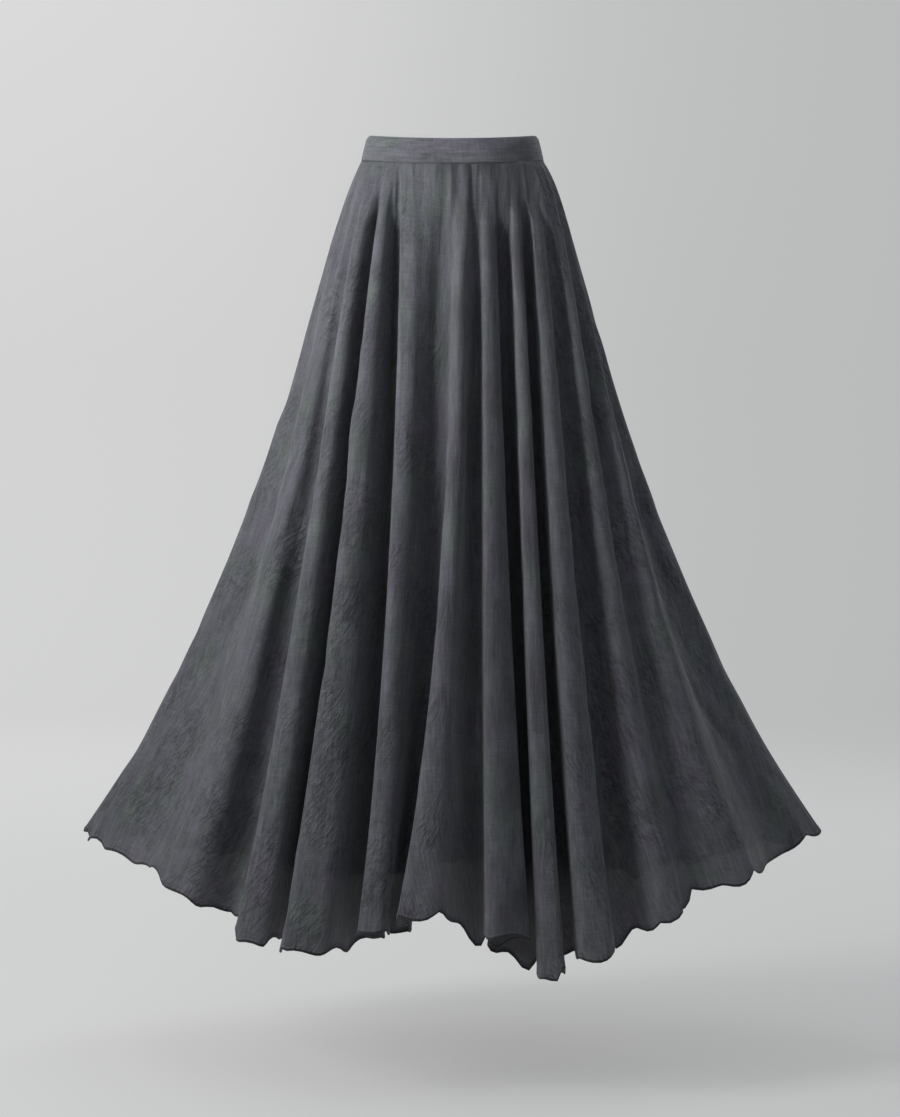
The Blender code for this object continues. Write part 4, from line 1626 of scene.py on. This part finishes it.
@dataclass
class Stitching:
    """Rows of machine stitches, set along a line on the cloth by Geometry Nodes."""

    name: str
    pitch: float = 0.0034
    length: float = 0.0025
    radius: float = 0.00022
    wander: float = 0.00012
    seed: int = 11

    def sizes(self) -> dict[str, float | int]:
        """The tree's named inputs and their values."""
        return {
            "Pitch": self.pitch, "Length": self.length, "Radius": self.radius, "Wander": self.wander,
            "Seed": self.seed,
        }

    def tree(self) -> bpy.types.NodeTree:
        """Builds the node tree that turns a line into stitches.

        Returns:
            A tree with named inputs for its sizes and its thread.
        """
        tree = bpy.data.node_groups.new(f"{self.name}_rows", "GeometryNodeTree")
        face = tree.interface
        face.new_socket("Geometry", in_out="INPUT", socket_type="NodeSocketGeometry")
        for key, value in self.sizes().items():
            kind = "NodeSocketInt" if isinstance(value, int) else "NodeSocketFloat"
            face.new_socket(key, in_out="INPUT", socket_type=kind).default_value = value
        face.new_socket("Thread", in_out="INPUT", socket_type="NodeSocketMaterial")
        face.new_socket("Geometry", in_out="OUTPUT", socket_type="NodeSocketGeometry")
        work = NodeWork(tree)
        given = work.add("NodeGroupInput").outputs
        line = work.add("GeometryNodeMeshToCurve", {"Mesh": given["Geometry"]}).outputs[0]
        steps = work.add(
            "GeometryNodeResampleCurve", {"Curve": line, "Length": given["Pitch"]}, mode="LENGTH"
        )
        ball = work.add("GeometryNodeMeshUVSphere", {"Segments": 6, "Rings": 4, "Radius": 1.0})
        half = work.times(given["Length"], 0.5)
        size = work.add("ShaderNodeCombineXYZ", {0: half, 1: given["Radius"], 2: given["Radius"]})
        bead = work.add("GeometryNodeTransform", {"Geometry": ball.outputs[0], "Scale": size.outputs[0]})
        along = work.add(
            "FunctionNodeAlignRotationToVector",
            {"Vector": work.add("GeometryNodeInputTangent").outputs[0]},
            axis="X",
        )
        stray = work.add("FunctionNodeRandomValue", {"Seed": given["Seed"]}, data_type="FLOAT_VECTOR")
        centred = work.add(
            "ShaderNodeVectorMath", {0: stray.outputs[0], 1: (0.5, 0.5, 0.5)}, operation="SUBTRACT"
        )
        wandered = work.add("ShaderNodeVectorMath", {0: centred.outputs[0]}, operation="SCALE")
        tree.links.new(given["Wander"], wandered.inputs["Scale"])
        shifted = work.add(
            "GeometryNodeSetPosition", {"Geometry": steps.outputs[0], "Offset": wandered.outputs[0]}
        )
        placed = work.add(
            "GeometryNodeInstanceOnPoints",
            {"Points": shifted.outputs[0], "Instance": bead.outputs[0], "Rotation": along.outputs[0]},
        )
        real = work.add("GeometryNodeRealizeInstances", {"Geometry": placed.outputs[0]})
        sewn = work.add("GeometryNodeSetMaterial", {"Geometry": real.outputs[0], "Material": given["Thread"]})
        work.add("NodeGroupOutput", {"Geometry": sewn.outputs[0]})
        return tree

    def build(self, lines: list[np.ndarray], thread: bpy.types.Material) -> bpy.types.Object:
        """Sews along some lines and turns the result into a plain mesh.

        Args:
            lines: Rows of points, one array for each row of stitches.
            thread: The thread's material.

        Returns:
            One object that holds every stitch.
        """
        points = np.concatenate(lines)
        edges: list[tuple[int, int]] = []
        first = 0
        for line in lines:
            edges += [(first + i, first + i + 1) for i in range(len(line) - 1)]
            first += len(line)
        guide = bpy.data.meshes.new(f"{self.name}_line")
        guide.from_pydata([tuple(p) for p in points.tolist()], edges, [])
        carrier = new_object(f"{self.name}_line", guide)
        modifier = carrier.modifiers.new("stitches", "NODES")
        modifier.node_group = self.tree()
        face = modifier.node_group.interface
        sockets = {socket.name: socket.identifier for socket in face.items_tree if socket.in_out == "INPUT"}
        modifier[sockets["Thread"]] = thread
        for key, value in self.sizes().items():
            modifier[sockets[key]] = value
        sewn = carrier.evaluated_get(bpy.context.evaluated_depsgraph_get())
        mesh = bpy.data.meshes.new_from_object(sewn)
        carrier.modifiers.remove(modifier)
        bpy.data.objects.remove(carrier)
        mesh.name = self.name
        mesh.shade_smooth()
        return new_object(self.name, mesh)


@dataclass(frozen=True)
class Thread:
    """Sewing thread, a shade darker than the cloth."""

    name: str = "dark_thread"
    light: Colour = (0.060, 0.060, 0.066, 1.0)
    dark: Colour = (0.034, 0.034, 0.040, 1.0)
    twist: float = 2400.0
    twist_depth: float = 0.0001
    twist_strength: float = 0.6
    strand_edge: float = 0.15
    roughness: float = 0.6

    def material(self) -> bpy.types.Material:
        """Builds the thread's material: twisted strands of two shades.

        Returns:
            The new material.
        """
        made = bpy.data.materials.new(self.name)
        made.use_nodes = True
        tree = made.node_tree
        tree.nodes.clear()
        work = NodeWork(tree)
        place = work.add("ShaderNodeTexCoord").outputs["Object"]
        strands = work.ramp(work.noise(place, self.twist, 1.0), -self.strand_edge, self.strand_edge)
        shade = Linen.mix(work, strands, self.dark, self.light)
        bump = work.add(
            "ShaderNodeBump",
            {"Height": strands, "Distance": self.twist_depth, "Strength": self.twist_strength},
        )
        shader = work.add("ShaderNodeBsdfPrincipled", {"Base Color": shade, "Normal": bump.outputs[0]})
        shader.inputs["Roughness"].default_value = self.roughness
        work.add("ShaderNodeOutputMaterial", {"Surface": shader.outputs[0]})
        return made


# Columns of faces along each half of the waistband, closer where it is gathered
BAND_COLUMNS = {Side.FRONT: 200, Side.BACK: 520}


def dress(item: bpy.types.Object, materials: list[bpy.types.Material], slot: str, *nodes: str) -> None:
    """Gives a piece its cloth and ties it to the frame.

    Args:
        item: The piece.
        materials: Its cloth, in the order of its faces' material numbers.
        slot: The record's material slot; not used.
        *nodes: The solids that it stands for.
    """
    for material in materials:
        item.data.materials.append(material)
    if nodes:
        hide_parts(*nodes)
    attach(item, BODY)
    LOG.info("%s: %d faces", item.name, len(item.data.polygons))


def main() -> None:
    """Builds the studio, the panels and the waistband, and reports each piece."""
    logging.basicConfig(level=logging.INFO, format="%(name)s: %(message)s")
    Studio().build()
    groups = {"weave": weave_group(), "crumple": crumple_group(), "tone": tone_group()}
    skirt_linen = Linen("skirt_linen_cloth").material(groups)
    hem_linen = Linen("hem_linen_cloth", thin=0.86).material(groups)
    smooth_linen = Linen("band_linen_cloth", sheer=0.02, lean=0.3, dent=1.0, line=0.1, ink=0.10)
    band_linen = smooth_linen.material(groups)
    thread = Thread().material()
    form = SkirtForm()
    creases = CreaseWork(form)
    for side in Side:
        panel = Panel(form, creases, side)
        item = panel.build()
        dress(item, [skirt_linen, hem_linen], SKIRT_SLOT, f"skirt_{side.value}")
        hem_rows = Stitching(f"hem_stitches_{side.value}").build([panel.hem_line()], thread)
        dress(hem_rows, [], SKIRT_SLOT)
        band = Waistband(form.waist, side, columns=BAND_COLUMNS[side])
        strip = band.build()
        dress(strip, [band_linen], BAND_SLOT, f"waistband_{side.value}")
        if side is Side.BACK:
            lines = [band.casing_line(depth) for depth in band.casing_rows]
            dress(Stitching("casing_stitches").build(lines, thread), [], BAND_SLOT)


if __name__ == "__main__":
    main()
